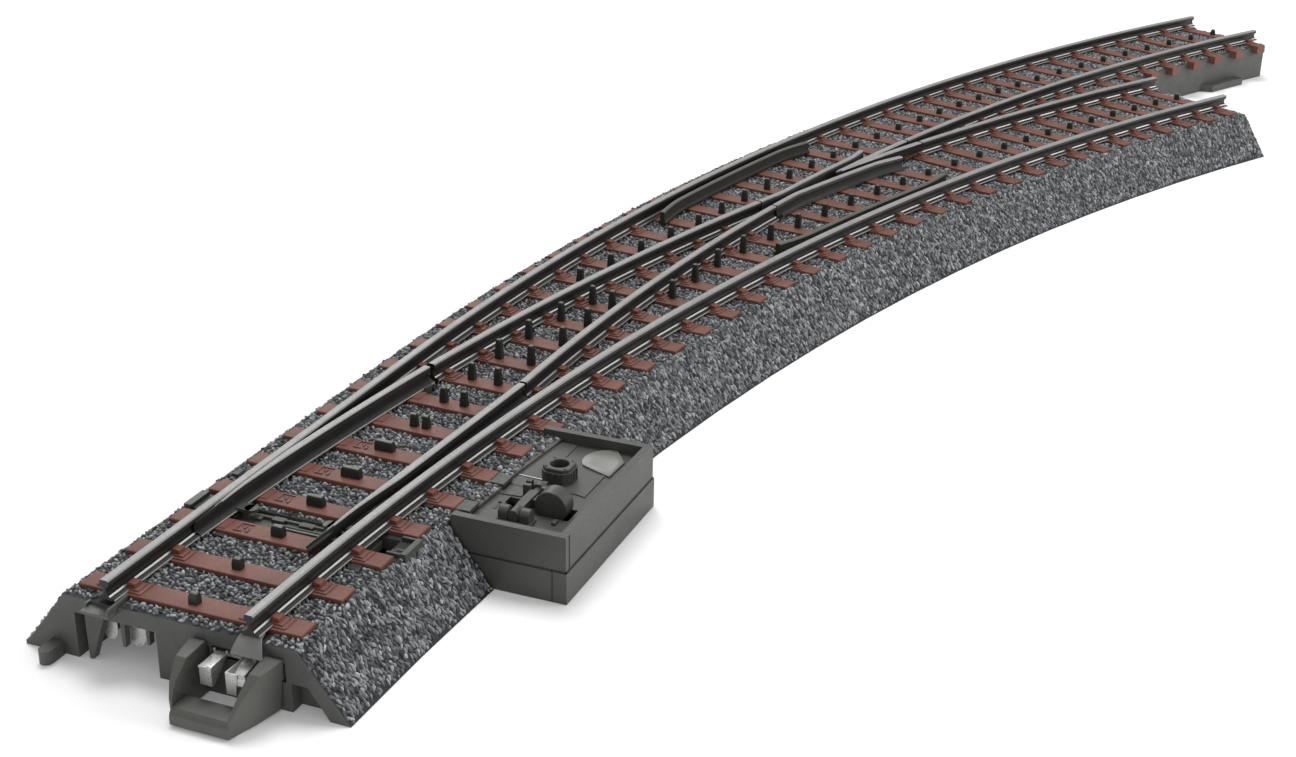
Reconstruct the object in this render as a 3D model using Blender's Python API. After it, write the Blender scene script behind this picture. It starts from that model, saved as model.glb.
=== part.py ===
"""Curved model railway turnout with a weighted hand lever, as an assembly.

Both routes leave the toe end along +X and curve to the right (-Y) on the same
radius; the outer route starts its curve LEAD millimetres later. Lengths below
are millimetres in the track frame (origin at the toe end, on the track centre,
on the base plane) and are turned into metres, about the centre of the outline,
when a mesh is made.
"""

import math

import bmesh
import bpy
from mathutils import Vector

for old in list(bpy.data.objects):
    bpy.data.objects.remove(old, do_unlink=True)

# ---------------------------------------------------------------- dimensions
MM = 0.001
CENTRE_X, CENTRE_Y = 163.4, -33.2  # centre of the outline in the track frame

RADIUS = 515.0  # both routes' track centre
LEAD = 64.3  # straight length before the outer route curves
SWEEP = math.radians(30.0)  # both routes turn through this angle
HALF_GAUGE = 8.75  # track centre to rail centre
BASE_HALF = 20.0  # half width of the bed at the base
CREST_HALF = 14.2  # half width of the bed at its top
BED_TOP = 7.4
DECK = 5.9  # underside of the bed's top plate
WALL = 1.2
TIE_TOP = 7.9
TIE_HALF = 13.5  # half length of a tie
TIE_WIDTH = 2.8
RAIL_BASE = 8.0
RAIL_TOP = 10.3
HEAD_HALF = 0.5
FOOT_HALF = 1.15
CUT_WALL = 12.0  # outer route: right-hand wall past the inner end
STUD_TOP = 9.2  # the studs rise towards the rail crossings
STRIP_Z = (5.25, 5.75)

PIVOT_X = 61.5  # both blade heels
BLADE_TIP = 15.2
THROW_X = 22.7  # throw bar centre
THROW = math.radians(2.77)  # blade swing
TRAVEL = 1.875  # throw bar travel at THROW_X

BOX = (30.5, 56.5, -29.8, -15.5)  # lever box in plan
LEVER_Y, LEVER_Z = -21.8, 7.9  # lever shaft axis, along X
LEVER_SWING = math.radians(150.0)
CRANK_R = TRAVEL / (2 * math.sin(LEVER_SWING / 2))
LAMP_X, LAMP_Y = 46.2, -21.9  # lantern spindle axis
LAMP_R = TRAVEL / (2 * math.sin(math.radians(45)))


# ------------------------------------------------------------------ materials
def material(name, colour, roughness, metallic=0.0):
    made = bpy.data.materials.new(name)
    made.use_nodes = True
    shader = made.node_tree.nodes["Principled BSDF"]
    shader.inputs["Base Color"].default_value = (*colour, 1.0)
    shader.inputs["Roughness"].default_value = roughness
    shader.inputs["Metallic"].default_value = metallic
    return made


BALLAST = material("ballast_grey", (0.17, 0.18, 0.19), 0.9)
RAIL = material("nickel_rail", (0.45, 0.45, 0.44), 0.32, 1.0)
STUD = material("stud_black", (0.03, 0.03, 0.03), 0.45)
HOUSING = material("housing_grey", (0.07, 0.07, 0.065), 0.6)
FITTING = material("fitting_black", (0.025, 0.025, 0.027), 0.55)
SPRING = material("contact_metal", (0.62, 0.6, 0.56), 0.28, 1.0)
FROG = material("frog_metal", (0.3, 0.3, 0.3), 0.45, 1.0)
STEEL = material("steel", (0.5, 0.5, 0.5), 0.35, 1.0)


# ---------------------------------------------------------------- plan curves
def outer(s, off=0.0):
    """Point of the outer route at length s, off to the left, and its heading."""
    if s <= LEAD:
        return s, off, 1.0, 0.0
    a = (s - LEAD) / RADIUS
    r = RADIUS + off
    return (
        LEAD + r * math.sin(a),
        -RADIUS + r * math.cos(a),
        math.cos(a),
        -math.sin(a),
    )


def inner(s, off=0.0):
    a = s / RADIUS
    r = RADIUS + off
    return r * math.sin(a), -RADIUS + r * math.cos(a), math.cos(a), -math.sin(a)


OUTER_END = LEAD + RADIUS * SWEEP
INNER_END = RADIUS * SWEEP


def y_a(x):
    """Inner route's left rail, which crosses the frog."""
    r = RADIUS + HALF_GAUGE
    return -RADIUS + math.sqrt(r * r - x * x)


def y_b(x):
    """Outer route's right rail, which crosses the frog."""
    if x <= LEAD:
        return -HALF_GAUGE
    r = RADIUS - HALF_GAUGE
    return -RADIUS + math.sqrt(r * r - (x - LEAD) ** 2)


def y_right_stock(x):
    r = RADIUS - HALF_GAUGE
    return -RADIUS + math.sqrt(r * r - x * x)


def outer_s_on_inner_end_plane():
    """Length along the outer route where the inner end's plane crosses it."""
    ex, ey = RADIUS * math.sin(SWEEP), -RADIUS + RADIUS * math.cos(SWEEP)
    lo, hi = LEAD, OUTER_END
    for _ in range(60):
        mid = (lo + hi) / 2
        x, y, _, _ = outer(mid)
        if (x - ex) * math.cos(SWEEP) - (y - ey) * math.sin(SWEEP) > 0:
            hi = mid
        else:
            lo = mid
    return lo


S_SPLIT = outer_s_on_inner_end_plane()


def spread(a, b, step):
    n = max(1, math.ceil(abs(b - a) / step))
    return [a + (b - a) * i / n for i in range(n + 1)]


# ------------------------------------------------------------- mesh builders
def prism(outline, z0, z1, outline_top=None):
    top = outline_top or outline
    n = len(outline)
    verts = [(x, y, z0) for x, y in outline] + [(x, y, z1) for x, y in top]
    faces = [tuple(range(n)), tuple(range(n, 2 * n))]
    faces += [(i, (i + 1) % n, n + (i + 1) % n, n + i) for i in range(n)]
    return verts, faces


def box(x0, x1, y0, y1, z0, z1):
    return prism([(x0, y0), (x1, y0), (x1, y1), (x0, y1)], z0, z1)


def loft(rings):
    n = len(rings[0])
    verts = [p for ring in rings for p in ring]
    faces = [tuple(range(n)), tuple(range((len(rings) - 1) * n, len(rings) * n))]
    for k in range(len(rings) - 1):
        a, b = k * n, (k + 1) * n
        faces += [(a + i, a + (i + 1) % n, b + (i + 1) % n, b + i) for i in range(n)]
    return verts, faces


def sweep(stations, section):
    """A closed section of (left offset, height) along (x, y, hx, hy) stations."""
    return loft([[(x - n * hy, y + n * hx, z) for n, z in section] for x, y, hx, hy in stations])


def drum(x, y, z0, z1, r, n=16, r1=None):
    r1 = r if r1 is None else r1
    ring = [(math.cos(2 * math.pi * i / n), math.sin(2 * math.pi * i / n)) for i in range(n)]
    return prism([(x + r * c, y + r * s) for c, s in ring], z0, z1, [(x + r1 * c, y + r1 * s) for c, s in ring])


def drum_x(x0, x1, y, z, r, n=16):
    rings = []
    for x in (x0, x1):
        rings.append([(x, y + r * math.cos(2 * math.pi * i / n), z + r * math.sin(2 * math.pi * i / n)) for i in range(n)])
    return loft(rings)


def joined(*shapes):
    verts, faces = [], []
    for v, f in shapes:
        base = len(verts)
        verts += v
        faces += [tuple(base + i for i in face) for face in f]
    return verts, faces


def placed(shape, frame):
    """A shape given as (out, left, up) carried to an end (x, y, hx, hy)."""
    x, y, hx, hy = frame
    verts, faces = shape
    return [(x + u * hx - v * hy, y + u * hy + v * hx, z) for u, v, z in verts], faces


def turned(shape, px, py, angle):
    c, s = math.cos(angle), math.sin(angle)
    verts, faces = shape
    return [(px + (x - px) * c - (y - py) * s, py + (x - px) * s + (y - py) * c, z) for x, y, z in verts], faces


def to_mesh(name, shape, at):
    verts, faces = shape
    mesh = bpy.data.meshes.new(name)
    moved = [((x - at[0]) * MM, (y - at[1]) * MM, (z - at[2]) * MM) for x, y, z in verts]
    mesh.from_pydata(moved, [], faces)
    bm = bmesh.new()
    bm.from_mesh(mesh)
    bmesh.ops.recalc_face_normals(bm, faces=bm.faces)
    bm.to_mesh(mesh)
    bm.free()
    return mesh


def world(at):
    return Vector(((at[0] - CENTRE_X) * MM, (at[1] - CENTRE_Y) * MM, at[2] * MM))


def solid(name, shape, mat, at=(0.0, 0.0, 0.0), smooth=False):
    mesh = to_mesh(name, shape, at)
    mesh.materials.append(mat)
    if smooth:
        mesh.shade_smooth()
        mesh.set_sharp_from_angle(angle=math.radians(35))
    made = bpy.data.objects.new(name, mesh)
    made.location = world(at)
    bpy.context.scene.collection.objects.link(made)
    return made


def boolean(target, operation, shape, label):
    name = f"{target.name}_{label}"
    tool = bpy.data.objects.new(name, to_mesh(name, shape, (0, 0, 0)))
    tool.location = world((0, 0, 0))
    tool.hide_render = True
    tool.display_type = "WIRE"
    bpy.context.scene.collection.objects.link(tool)
    modifier = target.modifiers.new(label, "BOOLEAN")
    modifier.operation = operation
    modifier.solver = "EXACT"
    modifier.object = tool
    return modifier


def cut(target, shape, label="cut"):
    return boolean(target, "DIFFERENCE", shape, label)


def add(target, shape, label="add"):
    return boolean(target, "UNION", shape, label)


# The three ends, looking outwards, with left to the left.
ENDS = {
    "toe": (0.0, 0.0, -1.0, 0.0),
    "outer": outer(OUTER_END),
    "inner": inner(INNER_END),
}


# ------------------------------------------------------------------- roadbed
def bed_outline(left, right, cut_wall):
    """Plan outline at one height: left of the outer route, right of the inner."""
    pts = []
    for s in [0.0] + spread(LEAD, OUTER_END, 15):
        pts.append(outer(s, left)[:2])
    ex, ey, hx, hy = outer(OUTER_END, -cut_wall)
    # The cut wall runs back from the outer end to the inner end's plane.
    stop = S_SPLIT
    lo, hi = S_SPLIT - 30, OUTER_END
    ix, iy, ihx, ihy = inner(INNER_END)
    for _ in range(60):
        mid = (lo + hi) / 2
        x, y, _, _ = outer(mid, -cut_wall)
        if (x - ix) * ihx + (y - iy) * ihy > 0:
            hi = mid
        else:
            lo = mid
    stop = lo
    for s in spread(OUTER_END, stop, 15):
        pts.append(outer(s, -cut_wall)[:2])
    for s in spread(INNER_END, 0.0, 15):
        pts.append(inner(s, -right)[:2])
    return pts[::-1]


roadbed = solid(
    "roadbed",
    prism(
        bed_outline(BASE_HALF, BASE_HALF, CUT_WALL),
        0.0,
        BED_TOP,
        bed_outline(CREST_HALF, CREST_HALF, CUT_WALL),
    ),
    BALLAST,
)


def cross(t, w, left=CREST_HALF - 1.5, right=CREST_HALF - 1.5):
    """Point at fraction w from the left crest to the right crest on line t."""
    a = outer(t * S_SPLIT, left)
    b = inner(t * INNER_END, -right)
    return a[0] + (b[0] - a[0]) * w, a[1] + (b[1] - a[1]) * w


def t_of(s):
    return s / S_SPLIT


def pocket(t0, t1, w0, w1):
    """A hollow between two cross lines; w0 and w1 are functions of t."""
    ts = spread(t0, t1, 0.034)
    pts = [cross(t, w0(t)) for t in ts] + [cross(t, w1(t)) for t in reversed(ts)]
    return prism(pts, -1.0, DECK)


def width(t):
    a, b = cross(t, 0.0), cross(t, 1.0)
    return math.hypot(a[0] - b[0], a[1] - b[1])


rows = [(WALL, 19.4), (20.6, 50.0), (51.2, 77.5), (78.7, 104.0), (105.2, 131.0), (132.2, 158.0), (159.2, 184.0), (185.2, 210.0), (211.2, 243.5), (244.7, S_SPLIT - WALL)]
pockets = []
for s0, s1 in rows:
    t0, t1 = t_of(s0), t_of(s1)
    if s1 < 78:
        pockets.append(pocket(t0, t1, lambda t: 0.0, lambda t: 1.0))
    else:
        pockets.append(pocket(t0, t1, lambda t: 0.0, lambda t: 0.5 - 0.6 / width(t)))
        pockets.append(pocket(t0, t1, lambda t: 0.5 + 0.6 / width(t), lambda t: 1.0))
for s0, s1 in ((S_SPLIT + WALL + 10.0, S_SPLIT + 31.0), (S_SPLIT + 32.2, OUTER_END - WALL)):
    ss = spread(s0, s1, 15)
    pts = [outer(s, 12.7)[:2] for s in ss] + [outer(s, -(CUT_WALL - WALL))[:2] for s in reversed(ss)]
    pockets.append(prism(pts, -1.0, DECK))
cut(roadbed, joined(*pockets), "pockets")

# Channel under the deck for the stud strip, through every rib.
STRIP_HALF = 0.7


def strip_outline(half, s0, so1, si1, crotch):
    """A forked strip: crotch is where the two branches part."""
    pts = [outer(s, half)[:2] for s in spread(s0, so1, 14)]
    pts += [outer(s, -half)[:2] for s in spread(so1, crotch, 14)]
    pts += [inner(s, half)[:2] for s in spread(crotch, si1, 14)][0:]
    pts += [inner(s, -half)[:2] for s in spread(si1, s0, 14)]
    return pts[::-1]


def crotch_of(half):
    """Length at which the routes are 2 * half apart."""
    s = 10.0
    while True:
        a, b = outer(s), inner(s)
        if math.hypot(a[0] - b[0], a[1] - b[1]) >= 2 * half:
            return s
        s += 0.05


cut(roadbed, prism(strip_outline(1.1, 1.6, OUTER_END - 1.6, INNER_END - 1.6, crotch_of(1.1) + 1.5), 5.0, 5.86), "strip_channel")


# Ties. Before the frog one tie carries both tracks; past it each has its own.
def tie_quad(p, q, w):
    """A tie between its two end points."""
    dx, dy = q[0] - p[0], q[1] - p[1]
    d = math.hypot(dx, dy)
    nx, ny = -dy / d * w / 2, dx / d * w / 2
    return [(p[0] + nx, p[1] + ny), (q[0] + nx, q[1] + ny), (q[0] - nx, q[1] - ny), (p[0] - nx, p[1] - ny)]


# Tie centres along each route: (tie number, length), straight lines between.
TIES_OUTER = ((0, 3.3), (27, 217.6), (33, 262.3), (41, 330.4))
TIES_INNER = ((0, 3.5), (26, 209.3), (34, 266.0))
LONG_TIES = 24


def tie_s(table, k):
    for (k0, s0), (k1, s1) in zip(table, table[1:]):
        if k <= k1:
            return s0 + (s1 - s0) * (k - k0) / (k1 - k0)
    return table[-1][1]


ties = []
for k in range(LONG_TIES):
    ties.append((outer(tie_s(TIES_OUTER, k), TIE_HALF)[:2], inner(tie_s(TIES_INNER, k), -TIE_HALF)[:2]))
outer_s = [tie_s(TIES_OUTER, k) for k in range(LONG_TIES, TIES_OUTER[-1][0] + 1)]
inner_s = [tie_s(TIES_INNER, k) for k in range(LONG_TIES, TIES_INNER[-1][0] + 1)]


def clip_off(route, other, s, side):
    """How far a tie reaches towards the other route before the midline."""
    off = TIE_HALF
    while off > 3.0:
        x, y, _, _ = route(s, side * off)
        best = min((math.hypot(x - p[0], y - p[1]) for p in (other(q) for q in spread(s - 30, s + 30, 1.0))))
        if best > off + 0.35:
            return off
        off -= 0.25
    return off


for s in outer_s:
    near = clip_off(outer, inner, s, -1) if s < S_SPLIT - 20 else TIE_HALF
    ties.append((outer(s, TIE_HALF)[:2], outer(s, -near)[:2]))
for s in inner_s:
    near = clip_off(inner, outer, s, 1)
    ties.append((inner(s, near)[:2], inner(s, -TIE_HALF)[:2]))
tie_boxes = [prism(tie_quad(p, q, TIE_WIDTH), 6.6, TIE_TOP) for p, q in ties]

# Toe and inner ends: a round-nosed locating tongue low on the right-hand shoulder.
tongue_plan = [(-0.9, -16.35)] + [(2.1 + 0.8 * math.sin(math.radians(t)), -15.55 - 0.8 * math.cos(math.radians(t))) for t in range(0, 181, 30)] + [(-0.9, -14.75)]
extra = [placed(prism(tongue_plan, 0.0, 1.6), ENDS[e]) for e in ("toe", "inner")]
# A low ledge at the foot of the cut wall, near the outer end.
ledge = [outer(s, -CUT_WALL + 0.5)[:2] for s in spread(OUTER_END - 24.5, OUTER_END - 10.5, 7)]
ledge += [outer(s, -CUT_WALL - 2.2)[:2] for s in spread(OUTER_END - 10.5, OUTER_END - 22.5, 7)]
extra.append(prism(ledge, 0.0, 1.5))
# Bosses for the cover screws under the points.
SCREWS = [(27.6, 9.3), (44.6, 9.3), (44.6, -9.3)]
extra += [drum(x, y, 1.7, DECK + 0.3, 1.9, 12) for x, y in SCREWS]
add(roadbed, joined(*tie_boxes, *extra), "ties")

openings = [
    box(BOX[0] - 0.3, BOX[1] + 0.3, -40.0, BOX[3] + 0.3, -1.0, 12.0),  # lever box
    box(20.7, 24.3, -12.55, 11.25, 5.0, 9.0),  # throw bar slot
    drum(PIVOT_X, y_a(PIVOT_X), 5.0, 9.0, 1.85, 14),
    drum(PIVOT_X, y_b(PIVOT_X), 5.0, 9.0, 1.85, 14),
    box(14.1, 15.5, 8.05, 9.45, 5.0, 9.0),
    box(14.1, 15.5, -9.7, -8.3, 5.0, 9.0),
]
openings += [drum(x, y, 1.0, 5.0, 0.8, 10) for x, y in SCREWS]
cut(roadbed, joined(*openings), "openings")
cut(roadbed, box(32.0, 44.5, -15.7, -12.0, 3.9, 5.7), "link_way")


def across(profile, v0, v1):
    """A profile in (out, up) drawn across an end from v0 to v1."""
    return loft([[(u, v, z) for u, z in profile] for v in (v0, v1)])


def end_prism(outline, u0, u1):
    """An outline in (left, up) drawn through an end wall from u0 to u1."""
    return loft([[(u, v, z) for v, z in outline] for u in (u0, u1)])


# Each end wall is an open frame: legs hang on its right side as one looks
# outwards, and the left side holds the coupling hook and its contacts.
end_holes = []
for e in ENDS:
    right = -13.0 if e != "outer" else -10.5
    end_holes += [placed(box(-2.4, 0.6, v0, v1, 3.4, 5.5), ENDS[e]) for v0, v1 in ((2.1, 3.7), (11.1, 12.7))]
    end_holes.append(placed(box(-2.4, 0.6, 4.0, 9.8, 4.5, 5.7), ENDS[e]))
    end_holes.append(placed(box(-1.7, 0.6, right, -2.8, -1.0, 5.5), ENDS[e]))
    end_holes.append(placed(end_prism([(13.3, -1.0), (13.3, 3.4), (15.2, 3.4), (17.7, -0.1), (18.3, -1.0)], -1.7, 0.6), ENDS[e]))
cut(roadbed, joined(*end_holes), "end_holes")
end_legs = []
for e in ENDS:
    shift = 0.0 if e != "outer" else 1.6
    end_legs += [
        placed(end_prism([(-11.85 + shift, 5.8), (-9.3 + shift, 5.8), (-11.3 + shift, 0.1), (-11.75 + shift, 0.1)][::-1], -1.1, -0.15), ENDS[e]),
        placed(end_prism([(-7.5, 5.8), (-6.9, 5.8), (-7.0, 2.5), (-7.4, 2.5)], -1.1, -0.3), ENDS[e]),
        placed(end_prism([(-4.3, 5.8), (-3.8, 5.8), (-3.9, 3.5), (-4.2, 3.5)], -1.1, -0.3), ENDS[e]),
    ]
add(roadbed, joined(*end_legs), "end_legs")


# --------------------------------------------------------------------- studs
def stud_top(k, inside):
    """Stud height at tie k: raised where the other route's rail crosses."""
    if k >= LONG_TIES:
        return STUD_TOP
    table = ((0, 9.2), (6, 9.6), (9, 10.7), (16, 10.8), (23, 9.2)) if inside else ((0, 9.2), (6, 9.6), (9, 10.7), (12, 10.8), (13, 10.0), (20, 9.9), (23, 9.2))
    return tie_s(table, k)


# (x, y, half width, top, y of the strip it stands on)
studs = [(tie_s(TIES_OUTER, k), 0.0, half, 9.2, 0.0) for k, half in enumerate((0.6, 0.6, 0.8, 1.1, 1.3, 1.3))]
for k in range(6, LONG_TIES):
    x, mid = outer(tie_s(TIES_OUTER, k))[:2]
    y = min(mid + 0.1, y_a(x) - 2.9) if k <= 12 else max(mid, y_a(x) + 4.2)
    studs.append((x - 0.3, y, 0.5, stud_top(k, False), mid))
    x, mid = inner(tie_s(TIES_INNER, k))[:2]
    y = max(mid + 0.5, y_b(x) + 3.0) if k <= 12 else min(mid + 0.1, y_b(x) - 2.8)
    if k == 6:
        y = studs[-1][1] - 1.7
    studs.append((x - 0.3, y, 0.5, stud_top(k, True), mid))
studs += [(*outer(s)[:2], 0.55, STUD_TOP, outer(s)[1]) for s in outer_s]
studs += [(*inner(s)[:2], 0.55, STUD_TOP, inner(s)[1]) for s in inner_s]

peg_holes, pegs, bars, bar_ways = [], [], [], []
for x, y, h, top, mid in studs:
    peg_holes.append(box(x - 0.7, x + 0.7, y - h - 0.18, y + h + 0.18, 5.0, 9.0))
    pegs.append(prism([(x - 0.5, y - h), (x + 0.5, y - h), (x + 0.5, y + h), (x - 0.5, y + h)], 5.4, top, [(x - 0.3, y - h + 0.15), (x + 0.3, y - h + 0.15), (x + 0.3, y + h - 0.15), (x - 0.3, y + h - 0.15)]))
    if abs(y - mid) > 0.6:
        side = 1 if y > mid else -1
        lo, hi = sorted((mid + side * 0.4, y + side * 0.2))
        bars.append(box(x - 0.35, x + 0.35, lo, hi, 5.28, 5.72))
        bar_ways.append(box(x - 0.65, x + 0.65, lo - 0.3, hi + 0.3, 5.0, 5.88))
cut(roadbed, joined(*bar_ways), "bar_ways")
cut(roadbed, joined(*peg_holes), "peg_holes")
stud_strip = solid("stud_strip", prism(strip_outline(STRIP_HALF, 2.2, OUTER_END - 2.2, INNER_END - 2.2, crotch_of(STRIP_HALF)), *STRIP_Z), STUD)
add(stud_strip, joined(*bars), "bars")
add(stud_strip, joined(*pegs), "pegs")


# --------------------------------------------------------------------- rails
SECTION = [
    (-FOOT_HALF, RAIL_BASE),
    (FOOT_HALF, RAIL_BASE),
    (FOOT_HALF, 8.35),
    (0.28, 8.75),
    (0.28, 9.35),
    (HEAD_HALF, 9.6),
    (HEAD_HALF, RAIL_TOP),
    (-HEAD_HALF, RAIL_TOP),
    (-HEAD_HALF, 9.6),
    (-0.28, 9.35),
    (-0.28, 8.75),
    (-FOOT_HALF, 8.35),
]


def on_a(x):
    r = RADIUS + HALF_GAUGE
    a = math.asin(x / r)
    return x, y_a(x), math.cos(a), -math.sin(a)


def on_b(x):
    if x <= LEAD:
        return x, y_b(x), 1.0, 0.0
    a = math.asin((x - LEAD) / (RADIUS - HALF_GAUGE))
    return x, y_b(x), math.cos(a), -math.sin(a)


def x_end(route, off, s_end):
    return route(s_end, off)[0]


solid("left_stock_rail", sweep([outer(0.0, HALF_GAUGE)] + [outer(s, HALF_GAUGE) for s in spread(LEAD, OUTER_END, 15)], SECTION), RAIL)
solid("right_stock_rail", sweep([inner(s, -HALF_GAUGE) for s in spread(0.0, INNER_END, 15)], SECTION), RAIL)
solid("left_closure_rail", sweep([on_a(x) for x in spread(64.0, 147.1, 14)], SECTION), RAIL)
solid("right_closure_rail", sweep([on_b(63.6), on_b(LEAD)] + [on_b(x) for x in spread(66.0, 146.0, 14)], SECTION), RAIL)
LEG_X = 193.0
solid("outer_exit_rail", sweep([on_b(x) for x in spread(LEG_X + 0.4, x_end(outer, -HALF_GAUGE, OUTER_END), 14)], SECTION), RAIL)
solid("inner_exit_rail", sweep([on_a(x) for x in spread(LEG_X + 0.4, x_end(inner, HALF_GAUGE, INNER_END), 14)], SECTION), RAIL)


# -------------------------------------------------------------- switch blades
def blade_ring(point, side, sep, x):
    """A blade's section; side is +1 where the stock rail lies to the left."""
    px, py, hx, hy = point
    foot = min(FOOT_HALF, sep - 1.28)
    back = min(HEAD_HALF, sep - 0.6)
    top = RAIL_TOP - 0.45 * max(0.0, 1 - (x - BLADE_TIP) / 9.0)
    ring = [(-FOOT_HALF, 8.1), (foot, 8.1), (foot, 8.4), (back, 8.9), (back, top), (-HEAD_HALF, top), (-HEAD_HALF, 8.9), (-FOOT_HALF, 8.5)]
    return [(px - side * n * hy, py + side * n * hx, z) for n, z in ring]


blade_xs = [BLADE_TIP, 17, 19, 21.5, 25, 29, 33.5, 39, 45, 51, 57, 63.1]
left_rings = [blade_ring(on_a(x), 1, HALF_GAUGE - y_a(x), x) for x in blade_xs]
right_rings = [blade_ring(on_b(x), -1, y_b(x) - y_right_stock(x), x) for x in blade_xs]


def heel(y):
    return drum(PIVOT_X, y, 7.0, 8.3, 1.5, 14)


def eye(y):
    return drum(PIVOT_X, y, 6.5, 7.95, 0.75, 12)


def tab(y, inward):
    """The tab and drive peg under a blade, on the side away from the stock rail."""
    far, near = y + inward * 2.3, y + inward * 0.9
    return box(22.0, 23.4, min(far, near), max(far, near), 8.15, 8.5), drum(THROW_X, y + inward * 1.6, 6.6, 8.3, 0.5, 12)


left_at = (PIVOT_X, y_a(PIVOT_X), RAIL_BASE)
right_at = (PIVOT_X, y_b(PIVOT_X), RAIL_BASE)
left_blade = solid("left_switch_blade", loft(left_rings), RAIL, left_at)
tab_l, peg_l = tab(y_a(THROW_X), -1)
add(left_blade, heel(left_at[1]), "heel")
add(left_blade, tab_l, "tab")
add(left_blade, peg_l, "peg")
cut(left_blade, eye(left_at[1]), "eye")


def open_right(shape):
    return turned(shape, PIVOT_X, right_at[1], -THROW)


right_blade = solid("right_switch_blade", open_right(loft(right_rings)), RAIL, right_at)
tab_r, peg_r = tab(y_b(THROW_X), 1)
add(right_blade, heel(right_at[1]), "heel")
add(right_blade, open_right(tab_r), "tab")
add(right_blade, open_right(peg_r), "peg")
cut(right_blade, eye(right_at[1]), "eye")

for side, at in (("left", left_at), ("right", right_at)):
    pin = solid(f"heel_pin_{side}", drum(PIVOT_X, at[1], 5.3, 7.8, 0.62, 12), STEEL, (PIVOT_X, at[1], 5.3), True)
    add(pin, drum(PIVOT_X, at[1], 4.9, 5.6, 2.3, 16), "head")

# ------------------------------------------------------- throw bar and drive
left_hole = (THROW_X, y_a(THROW_X) - 1.6)
closed = (THROW_X - PIVOT_X, 1.6)
right_hole = (
    PIVOT_X + closed[0] * math.cos(THROW) + closed[1] * math.sin(THROW),
    right_at[1] - closed[0] * math.sin(THROW) + closed[1] * math.cos(THROW),
)
throw_bar = solid("throw_bar", box(21.05, 23.95, -10.4, 10.9, 6.15, 7.6), FITTING, (THROW_X, 0.0, 6.8))
LINK_POST = (22.5, -8.9)
cut(
    throw_bar,
    joined(
        drum(*left_hole, 5.5, 8.5, 0.78, 12),
        drum(*right_hole, 5.5, 8.5, 0.78, 12),
        drum(*LINK_POST, 5.5, 8.5, 0.72, 12),
    ),
    "holes",
)

pin_y = LEVER_Y + CRANK_R * math.sin(LEVER_SWING / 2)
lamp_pin = (LAMP_X - LAMP_R * math.cos(math.radians(45)), LAMP_Y + LAMP_R * math.sin(math.radians(45)))
link_outline = [
    (21.2, -10.6),
    (33.6, -10.6),
    (33.6, -22.4),
    (47.0, -22.4),
    (47.0, -19.4),
    (36.2, -19.4),
    (36.2, -8.2),
    (21.2, -8.2),
]
drive_link = solid("drive_link", prism(link_outline, 4.4, 5.2), FITTING, (40.0, -20.9, 4.8))
add(drive_link, joined(drum(*LINK_POST, 4.9, 7.3, 0.55, 12), box(41.7, 42.5, pin_y - 1.25, pin_y - 0.62, 4.8, 8.3), box(41.7, 42.5, pin_y + 0.62, pin_y + 1.25, 4.8, 8.3), drum(38.0, -20.9, 3.0, 4.8, 0.5, 12)), "uprights")
cut(drive_link, box(lamp_pin[0] - 1.1, lamp_pin[0] + 1.0, lamp_pin[1] - 0.52, lamp_pin[1] + 0.52, 3.0, 6.0), "slot")

# --------------------------------------------------------------- hand lever
web = drum_x(40.4, 41.3, LEVER_Y, LEVER_Z, 1.35, 18)
lever = solid("lever_shaft", drum_x(33.7, 40.9, LEVER_Y, LEVER_Z, 0.6, 14), STEEL, (38.0, LEVER_Y, LEVER_Z), True)
add(lever, web, "web")
crank_z = LEVER_Z - CRANK_R * math.cos(LEVER_SWING / 2)
add(lever, drum_x(41.0, 42.6, pin_y, crank_z, 0.34, 10), "crank")
WEIGHT_Y = LEVER_Y - 3.1
add(lever, box(37.7, 38.7, LEVER_Y - 2.8, LEVER_Y - 0.2, LEVER_Z - 0.4, LEVER_Z + 0.4), "arm")
weight = solid("lever_weight", drum_x(37.0, 39.2, WEIGHT_Y, LEVER_Z + 0.1, 2.0, 24), FITTING, (38.0, LEVER_Y, LEVER_Z), True)
cut(weight, box(37.5, 38.9, WEIGHT_Y + 0.1, LEVER_Y + 3.0, LEVER_Z - 0.6, LEVER_Z + 0.6), "socket")

# ------------------------------------------------------------ lever box
X0, X1, Y0, Y1 = BOX
lower = solid("housing_lower", prism([(X0 - 0.15, Y0 - 0.15), (X1 + 0.15, Y0 - 0.15), (X1 + 0.15, Y1), (X0 - 0.15, Y1)], 0.0, 3.9), HOUSING)
cut(lower, box(X0 + 1.2, X1 - 1.2, Y0 + 1.2, Y1 - 1.2, 1.0, 6.0), "hollow")
upper = solid("housing_upper", box(X0, X1, Y0, Y1, 4.0, 8.4), HOUSING)
cut(upper, box(X0 + 1.2, X1 - 1.2, Y0 + 1.2, Y1 - 1.2, 3.0, 6.2), "under")
cut(upper, box(X0 + 1.0, X1 - 1.0, Y0 + 1.0, Y1 + 0.8, 7.0, 10.0), "tray")
cut(
    upper,
    joined(
        box(32.0, 44.5, Y1 - 2.0, Y1 + 1.0, 3.5, 5.7),
        box(36.6, 39.5, -27.3, -18.6, 5.5, 7.5),
        box(40.3, 42.9, -24.6, -18.6, 5.5, 7.5),
        drum(LAMP_X, LAMP_Y, 5.5, 7.5, 1.1, 16),
    ),
    "openings",
)
socket = solid("lantern_socket", box(LAMP_X - 1.85, LAMP_X + 1.85, LAMP_Y - 1.85, LAMP_Y + 1.85, 7.1, 9.0), HOUSING)
cut(socket, drum(LAMP_X, LAMP_Y, 6.0, 10.0, 1.13, 20), "hole")
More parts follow.
